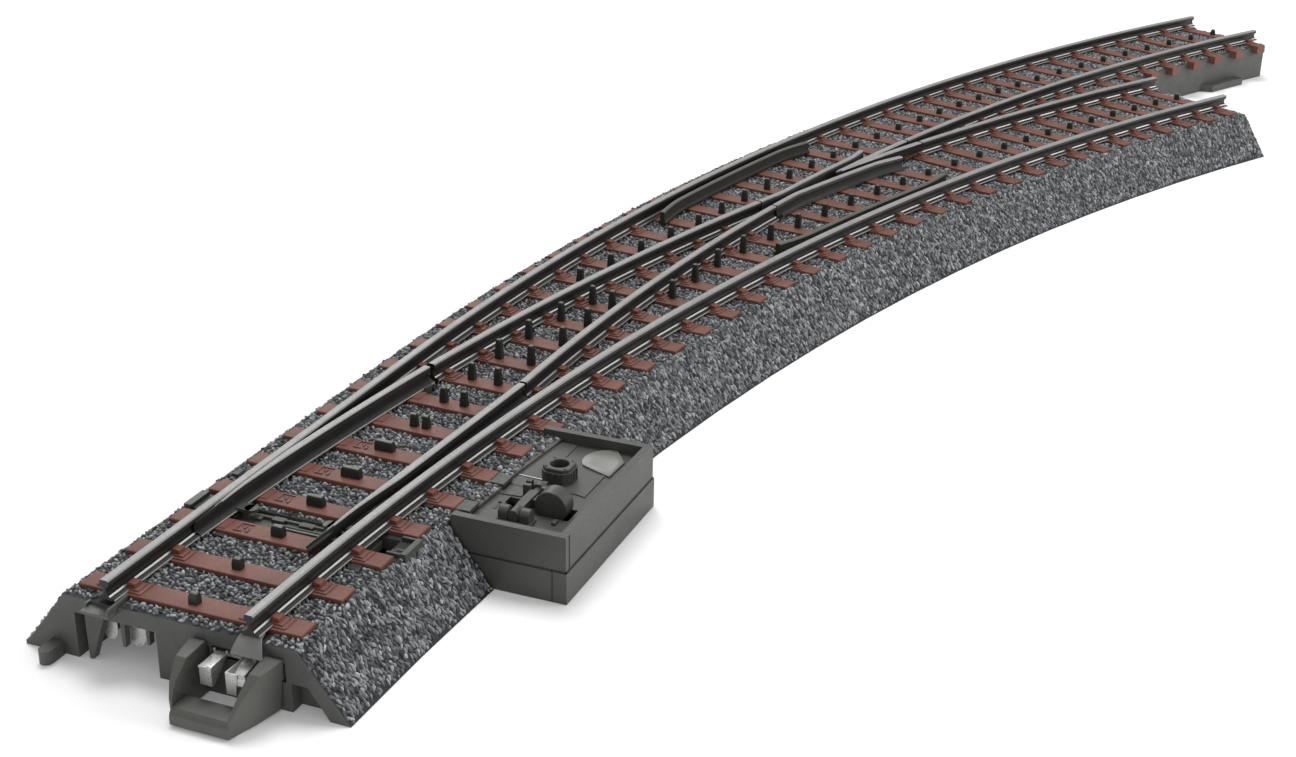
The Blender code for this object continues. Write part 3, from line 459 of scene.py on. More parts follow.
tie_shapes, chair_shapes, hole_shade_shapes = [], [], []
for p, q, which, k in ties:
    tie_shapes.append((tie_shape(p, q, k, which), 0))
    rails_here = crossings(p, q, which)
    for name, x, y, hx, hy in rails_here:
        for side in (-1, 1):
            # No chair where another rail, a guard or the switch blade lies close by.
            px, py = x - side * -hy * 0.0 + side * (-hy) * 1.9, y + side * hx * 1.9
            if any(n2 != name and math.hypot(px - x2, py - y2) < 2.3 for n2, x2, y2, _, _ in rails_here):
                continue
            if name == "left" and side < 0 and (15 < x < 62 or 133 < outer_sd(np.array(x), np.array(y))[0] < 187):
                continue
            if name == "right" and side > 0 and (15 < x < 62 or 129 < inner_sd(np.array(x), np.array(y))[0] < 184):
                continue
            if name in "ab" and (140 < x < 190):
                continue
            chair_shapes += [(at_point(part, x, y, hx, hy), 0) for part in chair(side)]
    # Slide plates and clip marks under the blades.
    if which == "both" and 16 < p[0] < 62:
        for yy, inward in ((y_a(p[0]), -1), (y_b(p[0]), 1)):
            chair_shapes.append((block(p[0] - 1.1, p[0] + 1.1, yy - 1.6 + inward * 0.5, yy + 1.6 + inward * 0.5, 7.9, 8.03), 0))
        if p[0] < 45:
            mx, my = p[0], y_a(p[0]) - 3.9
            for dx0, dx1, dy0, dy1 in ((-0.95, 0.95, 0.6, 0.85), (-0.95, -0.7, -0.2, 0.65), (0.7, 0.95, -0.9, 0.65), (-0.3, 0.35, -0.35, -0.1), (-0.95, -0.3, -0.95, -0.7)):
                chair_shapes.append((block(mx + dx0, mx + dx1, my + dy0, my + dy1, 7.9, 8.07), 0))
            # Black dots and discs on the tie tops: painted shade standing in for holes.
            for dx, dy in ((-0.55, -0.55), (0.3, 0.2), (0.1, -0.75)):
                hole_shade_shapes.append((block(mx + dx - 0.2, mx + dx + 0.2, my + dy - 0.13, my + dy + 0.13, 7.9, 7.965), 0))
        for dx in (-0.45, 0.5):
            hole_shade_shapes.append((drum(p[0] + dx, y_b(p[0]) + 3.1, 7.9, 7.965, 0.22, 14), 0))
piece("ties", tie_shapes, [TIE], bevel=0.07)
piece("rail_chairs", chair_shapes, [TIE_DARK], bevel=0.05, segments=1)
piece("tie_hole_painted_shade", hole_shade_shapes, [BLACK])

# --------------------------------------------------------------------- rails
RAIL_HALF = [
    (1.16, 8.0), (1.16, 8.22), (1.06, 8.28), (0.62, 8.34), (0.5, 8.52), (0.26, 8.62), (0.19, 8.8), (0.18, 9.25),
    (0.24, 9.45), (0.5, 9.58), (0.55, 9.66), (0.55, 10.1), (0.5, 10.23), (0.38, 10.3),
]
RAIL_SECTION = RAIL_HALF + [(-n, z) for n, z in reversed(RAIL_HALF)]
RAIL_LIT_SHADED_MATS = [RAIL_TOP_LIT, RAIL_FLANK_SHADED, RAIL_WEB_SHADED, RAIL_FOOT_LIT]


def rail_painted_light_face(centre, normal):
    """Painted highlight on the head and foot edges, painted shade on the flanks and web, chosen by height."""
    z = centre.z * 1000
    if abs(normal.z) < 0.15 and z > 9.62 and z < 10.09:
        return 1
    if z > 10.03:
        return 0
    if 8.02 < z < 8.25 and abs(normal.z) < 0.8 or 8.36 < z < 8.5:
        return 3
    return 1 if 8.25 < z < 8.36 else 2


def rail(name, stations, body="base", replaces=None):
    piece(name, [(sweep(stations, RAIL_SECTION), rail_painted_light_face)], RAIL_LIT_SHADED_MATS, body, (replaces or name.replace("_fine", ""),), smooth=28)


rail("left_stock_rail_fine", [outer(s, HALF_GAUGE) for s in [0.0] + spread(LEAD, OUTER_END, 4)])
rail("right_stock_rail_fine", [inner(s, -HALF_GAUGE) for s in spread(0.0, INNER_END, 4)])
rail("left_closure_rail_fine", [on_a(x) for x in spread(64.0, 147.1, 4)])
rail("right_closure_rail_fine", [on_b(x) for x in [63.6] + spread(LEAD, 146.0, 4)])
LEG_X = 193.0
rail("outer_exit_rail_fine", [on_b(x) for x in spread(LEG_X + 0.4, outer(OUTER_END, -HALF_GAUGE)[0], 4)])
rail("inner_exit_rail_fine", [on_a(x) for x in spread(LEG_X + 0.4, inner(INNER_END, HALF_GAUGE)[0], 4)])


def blade_ring(point, side, sep, x):
    px, py, hx, hy = point
    foot = min(1.15, sep - 1.28)
    back = min(0.5, sep - 0.6)
    top = RAIL_TOP - 0.45 * max(0.0, 1 - (x - BLADE_TIP) / 9.0)
    c = min(0.1, (back + 0.5) * 0.3)
    ring = [(-1.15, 8.1), (foot, 8.1), (foot, 8.32), (max(-0.1, back - 0.3), 8.7), (max(-0.1, back - 0.3), 9.4), (back, 9.6), (back, top - 0.12), (back - c, top), (-0.5 + c, top), (-0.5, top - 0.12), (-0.5, 9.6), (-0.28, 9.4), (-0.28, 8.7), (-1.15, 8.32)]
    return [(px - side * n * hy, py + side * n * hx, z) for n, z in ring]


blade_xs = [BLADE_TIP, 15.8, 17, 18, 19, 20.2, 21.5, 23, 25, 27, 29, 31, 33.5, 36, 39, 42, 45, 48, 51, 54, 57, 60, 63.1]
for side, name, sign, curve in (("left", "left_switch_blade", 1, on_a), ("right", "right_switch_blade", -1, on_b)):
    if side == "left":
        rings = [blade_ring(curve(x), 1, HALF_GAUGE - y_a(x), x) for x in blade_xs]
        py, inward = y_a(PIVOT_X), -1
    else:
        rings = [blade_ring(curve(x), -1, y_b(x) - y_right_stock(x), x) for x in blade_xs]
        py, inward = y_b(PIVOT_X), 1
    ty = curve(THROW_X)[1]
    tab = block(21.9, 23.5, *sorted((ty + inward * 2.6, ty + inward * 0.8)), 8.12, 8.5)
    tongue = drum(22.7, ty + inward * 2.5, 8.12, 8.5, 0.8, 28)
    peg = drum(THROW_X, ty + inward * 1.6, 6.6, 8.3, 0.5, 24)
    heel = drum(PIVOT_X, py, 7.0, 8.3, 1.5, 36)
    shapes = [(loft(rings), rail_painted_light_face), (tab, 4), (tongue, 4), (peg, 4), (heel, 4)]
    if side == "right":
        shapes = [(turned(s, PIVOT_X, py, -THROW), m) for s, m in shapes]
    piece(f"{name}_fine", shapes, RAIL_LIT_SHADED_MATS + [PLASTIC_2], f"{side}_blade", (name,), smooth=28)

# --------------------------------------------------------------------- studs
def stud_top(k, inside):
    if k >= LONG_TIES:
        return 9.2
    table = ((0, 9.2), (6, 9.6), (9, 10.7), (16, 10.8), (23, 9.2)) if inside else ((0, 9.2), (6, 9.6), (9, 10.7), (12, 10.8), (13, 10.0), (20, 9.9), (23, 9.2))
    return tie_s(table, k)


studs = [(tie_s(TIES_OUTER, k), 0.0, half, 9.2, 0.0) for k, half in enumerate((0.6, 0.6, 0.8, 1.1, 1.3, 1.3))]
for k in range(6, LONG_TIES):
    x, mid = outer(tie_s(TIES_OUTER, k))[:2]
    y = min(mid + 0.1, y_a(x) - 2.9) if k <= 12 else max(mid, y_a(x) + 4.2)
    studs.append((x - 0.3, y, 0.5, stud_top(k, False), mid))
    x, mid = inner(tie_s(TIES_INNER, k))[:2]
    y = max(mid + 0.5, y_b(x) + 3.0) if k <= 12 else min(mid + 0.1, y_b(x) - 2.8)
    if k == 6:
        y = studs[-1][1] - 1.7
    studs.append((x - 0.3, y, 0.5, stud_top(k, True), mid))
studs += [(*outer(tie_s(TIES_OUTER, k))[:2], 0.55, 9.2, None) for k in range(LONG_TIES, 42)]
studs += [(*inner(tie_s(TIES_INNER, k))[:2], 0.55, 9.2, None) for k in range(LONG_TIES, 35)]


def strip_outline(half, s0, so1, si1):
    crotch = 10.0
    while math.hypot(*(a - b for a, b in zip(outer(crotch)[:2], inner(crotch)[:2]))) < 2 * half:
        crotch += 0.05
    pts = [outer(s, half)[:2] for s in spread(s0, so1, 7)] + [outer(s, -half)[:2] for s in spread(so1, crotch, 7)]
    pts += [inner(s, half)[:2] for s in spread(crotch, si1, 7)] + [inner(s, -half)[:2] for s in spread(si1, s0, 7)]
    return pts[::-1]


def stud(x, y, h, top):
    tall = top > 9.3
    rings = []
    for z, w, l in ((5.4, 0.5, h), (7.92, 0.5, h), (8.1, 0.5, h), (top - 0.28, 0.36, h - 0.1), (top - 0.08, 0.31, h - 0.15), (top, 0.22, h - 0.24)) if tall else ((5.4, 0.5, h), (8.5, 0.48, h - 0.02), (top - 0.3, 0.42, h - 0.08), (top - 0.06, 0.33, h - 0.16), (top, 0.24, h - 0.25)):
        c = 0.09
        rings.append([(x - w, y - l + c, z), (x - w + c, y - l, z), (x + w - c, y - l, z), (x + w, y - l + c, z), (x + w, y + l - c, z), (x + w - c, y + l, z), (x - w + c, y + l, z), (x - w, y + l - c, z)])
    return loft(rings)


# Top faces of the studs take the painted highlight.
def stud_highlight_face(centre, normal):
    return 1 if normal.z > 0.55 and centre.z > 0.0088 else 0


strip_shapes = [(prism(strip_outline(0.7, 2.2, OUTER_END - 2.2, INNER_END - 2.2), 5.25, 5.75), 0)]
strip_shapes += [(stud(x, y, h, top), stud_highlight_face) for x, y, h, top, mid in studs]
for x, y, h, top, mid in studs:
    if mid is not None and abs(y - mid) > 0.6:
        side = 1 if y > mid else -1
        lo, hi = sorted((mid + side * 0.4, y + side * 0.2))
        strip_shapes.append((block(x - 0.35, x + 0.35, lo, hi, 5.28, 5.72), 0))
piece("stud_strip_fine", strip_shapes, [STUD, STUD_TOP_HIGHLIGHT], replaces=("stud_strip",), smooth=25)

# ---------------------------------------------------------------------- frog
THROAT = 2.35


def upper_wing(x):
    return max(y_a(x), y_b(x) + THROAT) + 0.8 * max(0.0, (x - 178.0) / 5.4) ** 1.3


def lower_wing(x):
    return min(y_b(x), y_a(x) - THROAT) - 0.8 * max(0.0, (x - 177.0) / 5.1) ** 1.3


def stations(fn, x0, x1, step):
    out = []
    for x in spread(x0, x1, step):
        dy = (fn(x + 0.4) - fn(x - 0.4)) / 0.8
        d = math.hypot(1, dy)
        out.append((x, fn(x), 1 / d, dy / d))
    return out


WING = [(-0.7, 8.3), (0.7, 8.3), (0.5, 8.75), (0.42, 9.5), (0.52, 9.66), (0.52, 10.14), (0.44, 10.26), (0.34, 10.3), (-0.34, 10.3), (-0.44, 10.26), (-0.52, 10.14), (-0.52, 9.66), (-0.42, 9.5), (-0.5, 8.75)]


# Frog faces: top faces take the painted-light head copy, low sides the painted-shade web copy.
def frog_face(centre, normal):
    z = centre.z * 1000
    if z > 10.2:
        return 1
    return 2 if z < 9.66 and abs(normal.z) < 0.6 else 0


xs = spread(147.8, 183.4, 1.5)
floor_outline = [(x, upper_wing(x) + 1.15) for x in xs] + [(x - 0.6, lower_wing(x - 0.6) - 1.15) for x in reversed(xs)]
piece(
    "frog_casting_fine",
    [
        (prism(floor_outline, 8.05, 8.55), 0),
        (sweep(stations(upper_wing, 147.42, 183.35, 1.5), WING), frog_face),
        (sweep(stations(lower_wing, 146.35, 182.65, 1.5), WING), frog_face),
    ],
    [FROGM, RAIL_TOP_LIT, RAIL_WEB_SHADED],
    replaces=("frog_casting",),
    smooth=30,
)
TIP_X, CROTCH_X = 168.8, 182.0


def nose_outline(g):
    pts = [(TIP_X + g, y_b(TIP_X) + 0.3)]
    pts += [(x, y_b(x) + 0.515 - g) for x in spread(TIP_X + 1.2, LEG_X, 3)]
    pts += [(x, y_b(x) - 0.515 + g) for x in spread(LEG_X, CROTCH_X, 3)]
    pts += [(x, y_a(x) + 0.54 - g) for x in spread(CROTCH_X + 0.02, LEG_X, 3)]
    pts += [(x, y_a(x) - 0.54 + g) for x in spread(LEG_X, TIP_X + 1.2, 3)]
    pts += [(TIP_X + g, y_a(TIP_X) - 0.3)]
    return pts


nose = loft([[(x, y, z) for x, y in nose_outline(g)] for g, z in ((0.0, 8.72), (0.0, 10.1), (0.12, 10.3))])
# Nose top faces take the painted light, its sides the painted shade.
piece("frog_nose_fine", [(nose, lambda c, n: 1 if c.z > 0.01 and n.z > 0.4 else 2)], [FROGM, RAIL_TOP_LIT, RAIL_WEB_SHADED], replaces=("frog_nose",), smooth=20)


# --------------------------------------------------------------- guard rails
GUARD_SECTION = [(-0.75, 8.05), (0.75, 8.05), (0.75, 8.35), (0.45, 8.55), (0.4, 8.7), (0.4, 9.95), (0.33, 10.06), (0.22, 10.1), (-0.22, 10.1), (-0.33, 10.06), (-0.4, 9.95), (-0.4, 8.7), (-0.45, 8.55), (-0.75, 8.35)]


def guard(route, s0, s1, rail_off, inward):
    pts = []
    for s in spread(s0, s1, 1.6):
        edge = min(s - s0, s1 - s)
        pts.append(route(s, rail_off + inward * (2.35 + 1.1 * max(0.0, 1 - edge / 8.0) ** 1.5)))
    return sweep(pts, GUARD_SECTION)


for name, route, s0, s1, off, inward in (("guard_rail_outer", outer, 135.2, 184.9, HALF_GAUGE, -1), ("guard_rail_inner", inner, 131.6, 182.4, -HALF_GAUGE, 1)):
    # Top faces of the guards take the painted highlight.
    piece(name + "_fine", [(guard(route, s0, s1, off, inward), lambda c, n: 1 if c.z > 0.01 and n.z > 0.4 else 0)], [GUARD, GUARD_TOP_HIGHLIGHT], replaces=(name,), smooth=30)

# ------------------------------------------------------------------- ballast
rng = np.random.default_rng(7)
TOP_Z = BED_TOP


def keep_top(x, y, r):
    """Where the bed's top carries grains, for grain centres; the radius r is not used."""
    so, do = outer_sd(x, y)
    si, di = inner_sd(x, y)
    ok = (do < CREST + 0.15) & (so > 0.25) & (so < OUTER_END - 0.25)
    # Right boundary: the inner route's crest, or the cut wall past its end.
    end_plane = (x - ENDS["inner"][0]) * ENDS["inner"][2] + (y - ENDS["inner"][1]) * ENDS["inner"][3]
    near = (end_plane < -0.2) & (di > -CREST - 0.15)
    far = (end_plane >= -0.2) & (do > -CUT_WALL + 0.3)
    ok &= near | far
    for p, q, which, k in ties:
        ux, uy, d = tie_frame(p, q)
        along = (x - p[0]) * ux + (y - p[1]) * uy
        side = np.abs((x - p[0]) * -uy + (y - p[1]) * ux)
        ok &= ~((side < TIE_W / 2 + 0.12) & (along > -0.12) & (along < d + 0.12))
    ok &= ~((x > 20.5) & (x < 24.5) & (y > -12.75) & (y < 11.45))
    ok &= ~((x > 30.0) & (x < 57.0) & (y < -15.0))
    ok &= ~((np.hypot(x - PIVOT_X, y - y_a(PIVOT_X)) < 2.0) | (np.hypot(x - PIVOT_X, y - y_b(PIVOT_X)) < 2.0))
    for x0, x1, y0, y1 in BARE:
        ok &= ~((x > x0) & (x < x1) & (y > y0) & (y < y1))
    for e in ENDS.values():
        u = (x - e[0]) * e[2] + (y - e[1]) * e[3]
        v = (x - e[0]) * -e[3] + (y - e[1]) * e[2]
        ok &= ~((u > -2.1) & (u < 1) & (np.abs(np.abs(v) - HALF_GAUGE) < 1.75))
    return ok


# Plates and pockets where no gravel shows, in the track frame.
BARE = [
    (20.9, 25.6, 11.2, 16.0),
    (19.0, 25.9, -15.2, -9.9),
    (29.8, 31.6, 11.6, 14.6),
    (33.6, 36.4, -15.6, -13.4),
    (41.4, 44.2, -16.0, -13.9),
]


def grains(name, pos, tangent, cross, normal, length, width, height, spin, seed):
    """Small faceted stones, one closed body each, set into the bed."""
    r = np.random.default_rng(seed)
    n = len(pos)
    sides = 5
    ang = (np.arange(sides) / sides * 2 * np.pi)[None, :] + r.uniform(-0.35, 0.35, (n, sides)) + r.uniform(0, 2 * np.pi, (n, 1))
    rad = r.uniform(0.82, 1.15, (n, sides))
    cx, cy = np.cos(ang) * rad, np.sin(ang) * rad
    c, s = np.cos(spin)[:, None], np.sin(spin)[:, None]
    rings = ((1.0, -0.16), (0.94, 0.5), (0.58, 1.0))
    m_rings = len(rings)
    verts = np.zeros((n, m_rings * sides, 3))
    tilt = r.uniform(-0.25, 0.25, (n, 2))
    for ring, (k, z) in enumerate(rings):
        a = cx * length[:, None] * k
        b = cy * width[:, None] * k
        if ring == 2:
            a = a + r.uniform(-0.05, 0.05, (n, 1))
            b = b + r.uniform(-0.04, 0.04, (n, 1))
        x2, y2 = a * c - b * s, a * s + b * c
        h = np.full_like(a, z) if ring == 0 else height[:, None] * z + (a * tilt[:, :1] + b * tilt[:, 1:]) * z
        verts[:, ring * sides : (ring + 1) * sides] = pos[:, None, :] + x2[..., None] * tangent[:, None, :] + y2[..., None] * cross[:, None, :] + h[..., None] * normal[:, None, :]
    verts[..., 2] = np.maximum(verts[..., 2], 0.02 + 0.01 * np.arange(m_rings * sides))
    tones = r.choice([0.05, 0.1, 0.16, 0.23, 0.32, 0.44], n, p=[0.13, 0.18, 0.23, 0.23, 0.15, 0.08]) * r.uniform(0.85, 1.2, n)
    tint = np.stack([tones * r.uniform(0.93, 1.01, n), tones * r.uniform(0.98, 1.02, n), tones * r.uniform(0.98, 1.1, n), np.ones(n)], 1)
    order = np.argsort(pos[:, 0])
    chunk = 6000
    made = []
    for part, start in enumerate(range(0, n, chunk)):
        idx = order[start : start + chunk]
        m = len(idx)
        v = verts[idx].reshape(-1, 3)
        per = m_rings * sides
        base = (np.arange(m) * per)[:, None]
        i = np.arange(sides)
        j = (i + 1) % sides
        quads = np.concatenate([np.stack([i, j, j + sides, i + sides], 1) + k * sides for k in range(m_rings - 1)]).reshape(1, -1)
        caps = np.concatenate([i[::-1], i + (m_rings - 1) * sides])[None, :]
        loops = np.concatenate([quads + base, caps + base], 1).reshape(-1)
        counts = np.tile(np.array([4] * sides * (m_rings - 1) + [sides] * 2), m)
        starts = np.concatenate([[0], np.cumsum(counts)[:-1]])
        mesh = bpy.data.meshes.new(f"{name}_{part + 1}")
        mesh.vertices.add(len(v))
        world = np.stack([(v[:, 0] - CX) * 0.001, (v[:, 1] - CY) * 0.001, v[:, 2] * 0.001], 1)
        mesh.vertices.foreach_set("co", world.astype(np.float32).ravel())
        mesh.loops.add(len(loops))
        mesh.loops.foreach_set("vertex_index", loops.astype(np.int32))
        mesh.polygons.add(len(counts))
        mesh.polygons.foreach_set("loop_start", starts.astype(np.int32))
        mesh.polygons.foreach_set("loop_total", counts.astype(np.int32))
        mesh.update(calc_edges=True)
        attribute = mesh.color_attributes.new("grain", "FLOAT_COLOR", "POINT")
        attribute.data.foreach_set("color", np.repeat(tint[idx], per, axis=0).astype(np.float32).ravel())
        mesh.materials.append(BALLAST)
        mesh.shade_smooth()
        obj = bpy.data.objects.new(f"{name}_{part + 1}", mesh)
        bpy.context.scene.collection.objects.link(obj)
        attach(obj, "base")
        made.append(obj)
    return made


def jittered(u0, u1, v0, v1, cell, seed, ratio=1.0):
    r = np.random.default_rng(seed)
    u = np.arange(u0, u1, cell * ratio)
    v = np.arange(v0, v1, cell)
    uu, vv = np.meshgrid(u, v)
    uu = uu + (np.arange(len(v)) % 2)[:, None] * cell * ratio * 0.5
    uu = uu + r.uniform(-0.36, 0.36, uu.shape) * cell * ratio
    vv = vv + r.uniform(-0.36, 0.36, vv.shape) * cell
    return uu.ravel(), vv.ravel()


CELL = 0.53
x, y = jittered(0.3, 336, -105, 15, CELL, 3)
so, do = outer_sd(x, y)
rough_in = (do < CREST + 0.2) & (so < OUTER_END + 0.5)
x, y = x[rough_in], y[rough_in]
ok = keep_top(x, y, 0.4)
x, y = x[ok], y[ok]
n = len(x)
r = np.random.default_rng(11)
flat = np.zeros((n, 3))
grains(
    "ballast_top",
    np.stack([x, y, np.full(n, TOP_Z) + r.uniform(-0.03, 0.05, n)], 1),
    flat + [1, 0, 0], flat + [0, 1, 0], flat + [0, 0, 1],
    r.uniform(0.27, 0.46, n), r.uniform(0.16, 0.22, n), r.uniform(0.13, 0.3, n) * np.where(outer_sd(x, y)[1] > CREST - 0.9, 0.35, 1.0), r.normal(1.2, 0.8, n), 21,
)

SLOPE = math.hypot(BASE - CREST, BED_TOP)
for side, route_v, length, seed in ((1, outer_v, OUTER_END, 31), (-1, inner_v, INNER_END, 41)):
    s, h = jittered(0.15, length - 0.1, 0.1, SLOPE - 0.28, CELL, seed, 0.85)
    keep = (s > 0.2) & (s < length - 0.2) & (h > 0.0) & (h < SLOPE - 0.25)
    if side < 0:
        along = (RADIUS - CREST - (BASE - CREST) * h / SLOPE) * np.sin(s / RADIUS)
        keep &= ~((along > 30.05) & (along < 56.95))
    s, h = s[keep], h[keep]
    t = h / SLOPE
    off = CREST + (BASE - CREST) * t
    px, py, a = route_v(s, side * off)
    n = len(s)
    heading = np.stack([np.cos(a), -np.sin(a), np.zeros(n)], 1)
    left = np.stack([np.sin(a), np.cos(a), np.zeros(n)], 1) * side
    down = left * ((BASE - CREST) / SLOPE) + np.array([0, 0, -BED_TOP / SLOPE])
    normal = left * (BED_TOP / SLOPE) + np.array([0, 0, (BASE - CREST) / SLOPE])
    r = np.random.default_rng(seed + 1)
    pos = np.stack([px, py, BED_TOP * (1 - t)], 1) - normal * 0.05
    grains(
        f"ballast_{'left' if side > 0 else 'right'}_slope",
        pos, down, heading, normal,
        np.minimum(r.uniform(0.37, 0.61, n), (SLOPE - h) * 0.8), r.uniform(0.16, 0.22, n), np.minimum(np.minimum(r.uniform(0.14, 0.34, n), 0.05 + (SLOPE - h) * 0.5), 0.1 + h * 0.3), r.normal(0.0, 0.4, n), seed + 2,
    )

# Grains on the shelf beside the lever box.
x, y = jittered(31.6, 56.0, -18.2, -14.6, CELL, 51)
si, di = inner_sd(x, y)


def shelf_edge(x):
    """The shelf's far edge: it follows the curve in steps."""
    steps = np.where(x < 35.4, 15.1, np.where(x < 41.0, 15.6, 15.2))
    return -inner_edge(x) - (steps - 15.1)


def inner_edge(x):
    return RADIUS - np.sqrt((RADIUS - 14.6) ** 2 - x * x) + 0.25


ok = (y < -15.0) & (y > shelf_edge(x) + 0.3)
x, y = x[ok], y[ok]
n = len(x)
flat = np.zeros((n, 3))
r = np.random.default_rng(52)
grains("ballast_shelf", np.stack([x, y, np.full(n, 7.44)], 1), flat + [1, 0, 0], flat + [0, 1, 0], flat + [0, 0, 1], r.uniform(0.28, 0.46, n), r.uniform(0.19, 0.27, n), r.uniform(0.14, 0.34, n), r.normal(1.2, 0.8, n), 53)
xs = np.arange(31.55, 56.0, 0.35)
edge = [(float(v), float(shelf_edge(np.array(v)))) for v in xs]
piece("gravel_shelf", [(prism([(31.55, -15.0), (55.95, -15.0)] + edge[::-1], 7.03, 7.42), 0)], [BED])


# --------------------------------------------------- finishes of the CAD parts
# Painted shade: the bed's upward faces under the gravel are darkened as the shade between grains.
BED_GAP_SHADE = moulded("bed_painted_shade_under_gravel", (0.014, 0.016, 0.019), 0.75, 0.15)
bed = nodes["roadbed"]
bed.data.materials.clear()
bed.data.materials.append(BED)
bed.data.materials.append(BED_GAP_SHADE)
bed.data.materials.append(TIE)
covered = []
for p in bed.data.polygons:
    z = p.center.z * 1000
    if p.normal.z > 0.4 and z > 7.75:
        covered.append(2)
    # Painted shade for the faces under the gravel.
    elif p.normal.z > 0.4 and z > 1.7:
        covered.append(1)
    else:
        covered.append(0)
bed.data.polygons.foreach_set("material_index", covered)
paint("housing_upper", PLASTIC, 0.14, 3)
paint("housing_lower", PLASTIC, 0.14, 3)
paint("drive_link", BLACK, 0.06)
paint("lever_far_bearing", PLASTIC, 0.1)
paint("mechanism_cover", PLASTIC, 0.12)
paint("rail_link_strip", SPRING, 0.05)
paint("detent_spring", SPRING)
paint("heel_pin_left", STEEL, 0.06)
paint("heel_pin_right", STEEL, 0.06)

# ------------------------------------------------------------ throw mechanism
BAR_TOP = 7.6
bow = []
for y0, y1, x0, x1, z1 in (
    (-6.4, 5.2, 22.95, 23.35, 7.58),
    (-7.2, -6.0, 22.3, 23.35, 7.52),
    (4.4, 5.6, 22.3, 23.35, 7.52),
    (-2.2, -0.4, 22.5, 23.5, 7.6),
    (1.6, 3.2, 22.6, 23.5, 7.6),
):
    bow.append((block(x0, x1, y0, y1, 7.1, z1), 0))
bow += [(block(21.6, 21.95, -6.4, 1.4, 7.15, 7.36), 1), (block(21.35, 21.6, -6.8, 1.8, 7.15, 7.5), 0), (block(21.95, 22.2, -6.8, 1.8, 7.15, 7.5), 0)]
bow += [(drum(22.6, 8.2, 7.1, 7.6, 1.0, 28), 0), (drum(22.6, 8.2, 7.1, 7.62, 0.45, 24), 2)]
piece(
    "throw_bar_fine",
    [(block(21.05, 23.95, -10.4, 10.9, 6.15, 7.2), 0), (block(21.35, 23.7, -9.6, 1.2, 7.1, 7.3), 0), (block(22.0, 22.2, -5.8, 0.6, 7.25, 7.34), 2), (block(22.3, 23.2, -8.9, -7.4, 7.2, 7.42), 0), (block(22.5, 22.9, -1.9, -0.7, 7.5, 7.64), 2)] + bow,
    [PLATE, SPRING, BLACK],
    "throw_bar",
    ("throw_bar",),
    bevel=0.05,
)
# Frames around the slot, the recess on the right shoulder and the left guide.
rim = [
    (block(20.75, 24.75, -15.1, -14.35, 6.9, 7.96), 0),
    (block(20.75, 21.1, -14.4, -12.6, 6.9, 7.9), 0),
    (block(24.35, 24.75, -14.4, -12.6, 6.9, 7.9), 0),
    (block(21.0, 24.5, -14.4, -12.6, 7.0, 7.15), 0),
    (block(22.2, 22.6, -14.4, -12.9, 7.1, 7.5), 0),
    (block(21.2, 22.2, -13.3, -12.6, 7.1, 7.5), 1),
]
piece("shoulder_frame_right", rim, [PLATE, BLACK], bevel=0.07)
cap = [
    (block(21.2, 25.0, 12.95, 13.95, 7.3, 8.05), 0),
    (block(21.4, 25.0, 11.5, 12.95, 7.3, 7.62), 1),
]
piece("throw_guide_fine", cap, [PLASTIC_2, BLACK], replaces=("throw_bar_cap",), bevel=0.08)
side_ridge = [(block(29.9, 31.5, 11.8, 14.2, 7.3, 7.62), 1), (loft([[(x, y, z) for y, z in ((12.2, 7.5), (13.7, 7.5), (13.4, 7.9), (12.6, 7.9))] for x in (30.1, 31.3)]), 1)]
piece("shoulder_blocks_left", side_ridge, [PLASTIC_2, BLACK], bevel=0.08)
# Small black blocks beside the rails, between ties: painted shade standing in for pockets.
pockets = []
for x, y in ((17.6, 6.6), (16.9, -11.0), (33.0, -11.4), (41.0, -11.9)):
    pockets.append((block(x - 0.7, x + 0.7, y - 0.75, y + 0.75, 7.35, 7.68), 0))
piece("pocket_painted_shade", pockets, [BLACK], bevel=0.05)

# ---------------------------------------------------------------- lever box
FLOOR = 7.0
tray = [
    # Raised floor plate on the far side, with its stepped edge.
    (prism([(39.6, -15.7), (39.9, -19.8), (43.0, -20.3), (43.0, -25.4), (42.7, -26.7), (48.8, -26.7), (48.8, -20.3), (55.4, -20.3), (55.4, -18.2), (48.0, -16.6)], 6.95, 7.12), 0),
    (block(35.0, 36.0, -26.4, -25.9, 6.9, 7.35), 0),
]
piece("tray_plate", tray, [PLASTIC], bevel=0.04)
# Black strips on the tray floor: painted shade standing in for its slots.
lines = [
    (block(42.2, 42.5, -19.0, -17.1, 7.08, 7.15), 0),
    (block(40.6, 42.5, -17.3, -17.05, 7.08, 7.15), 0),
    (block(36.1, 37.9, -18.35, -17.95, 6.98, 7.05), 0),
    (block(37.5, 37.9, -18.9, -17.95, 6.98, 7.05), 0),
]
piece("tray_slot_painted_shade", lines, [BLACK])
# A thin bright steel strip on the tray floor: a painted highlight along a slot edge.
piece("tray_painted_highlight_edge", [(loft([[(44.85, -16.6, z), (45.0, -16.6, z), (44.8, -21.2, z), (44.65, -21.2, z)] for z in (7.08, 7.2)]), 0)], [STEEL])

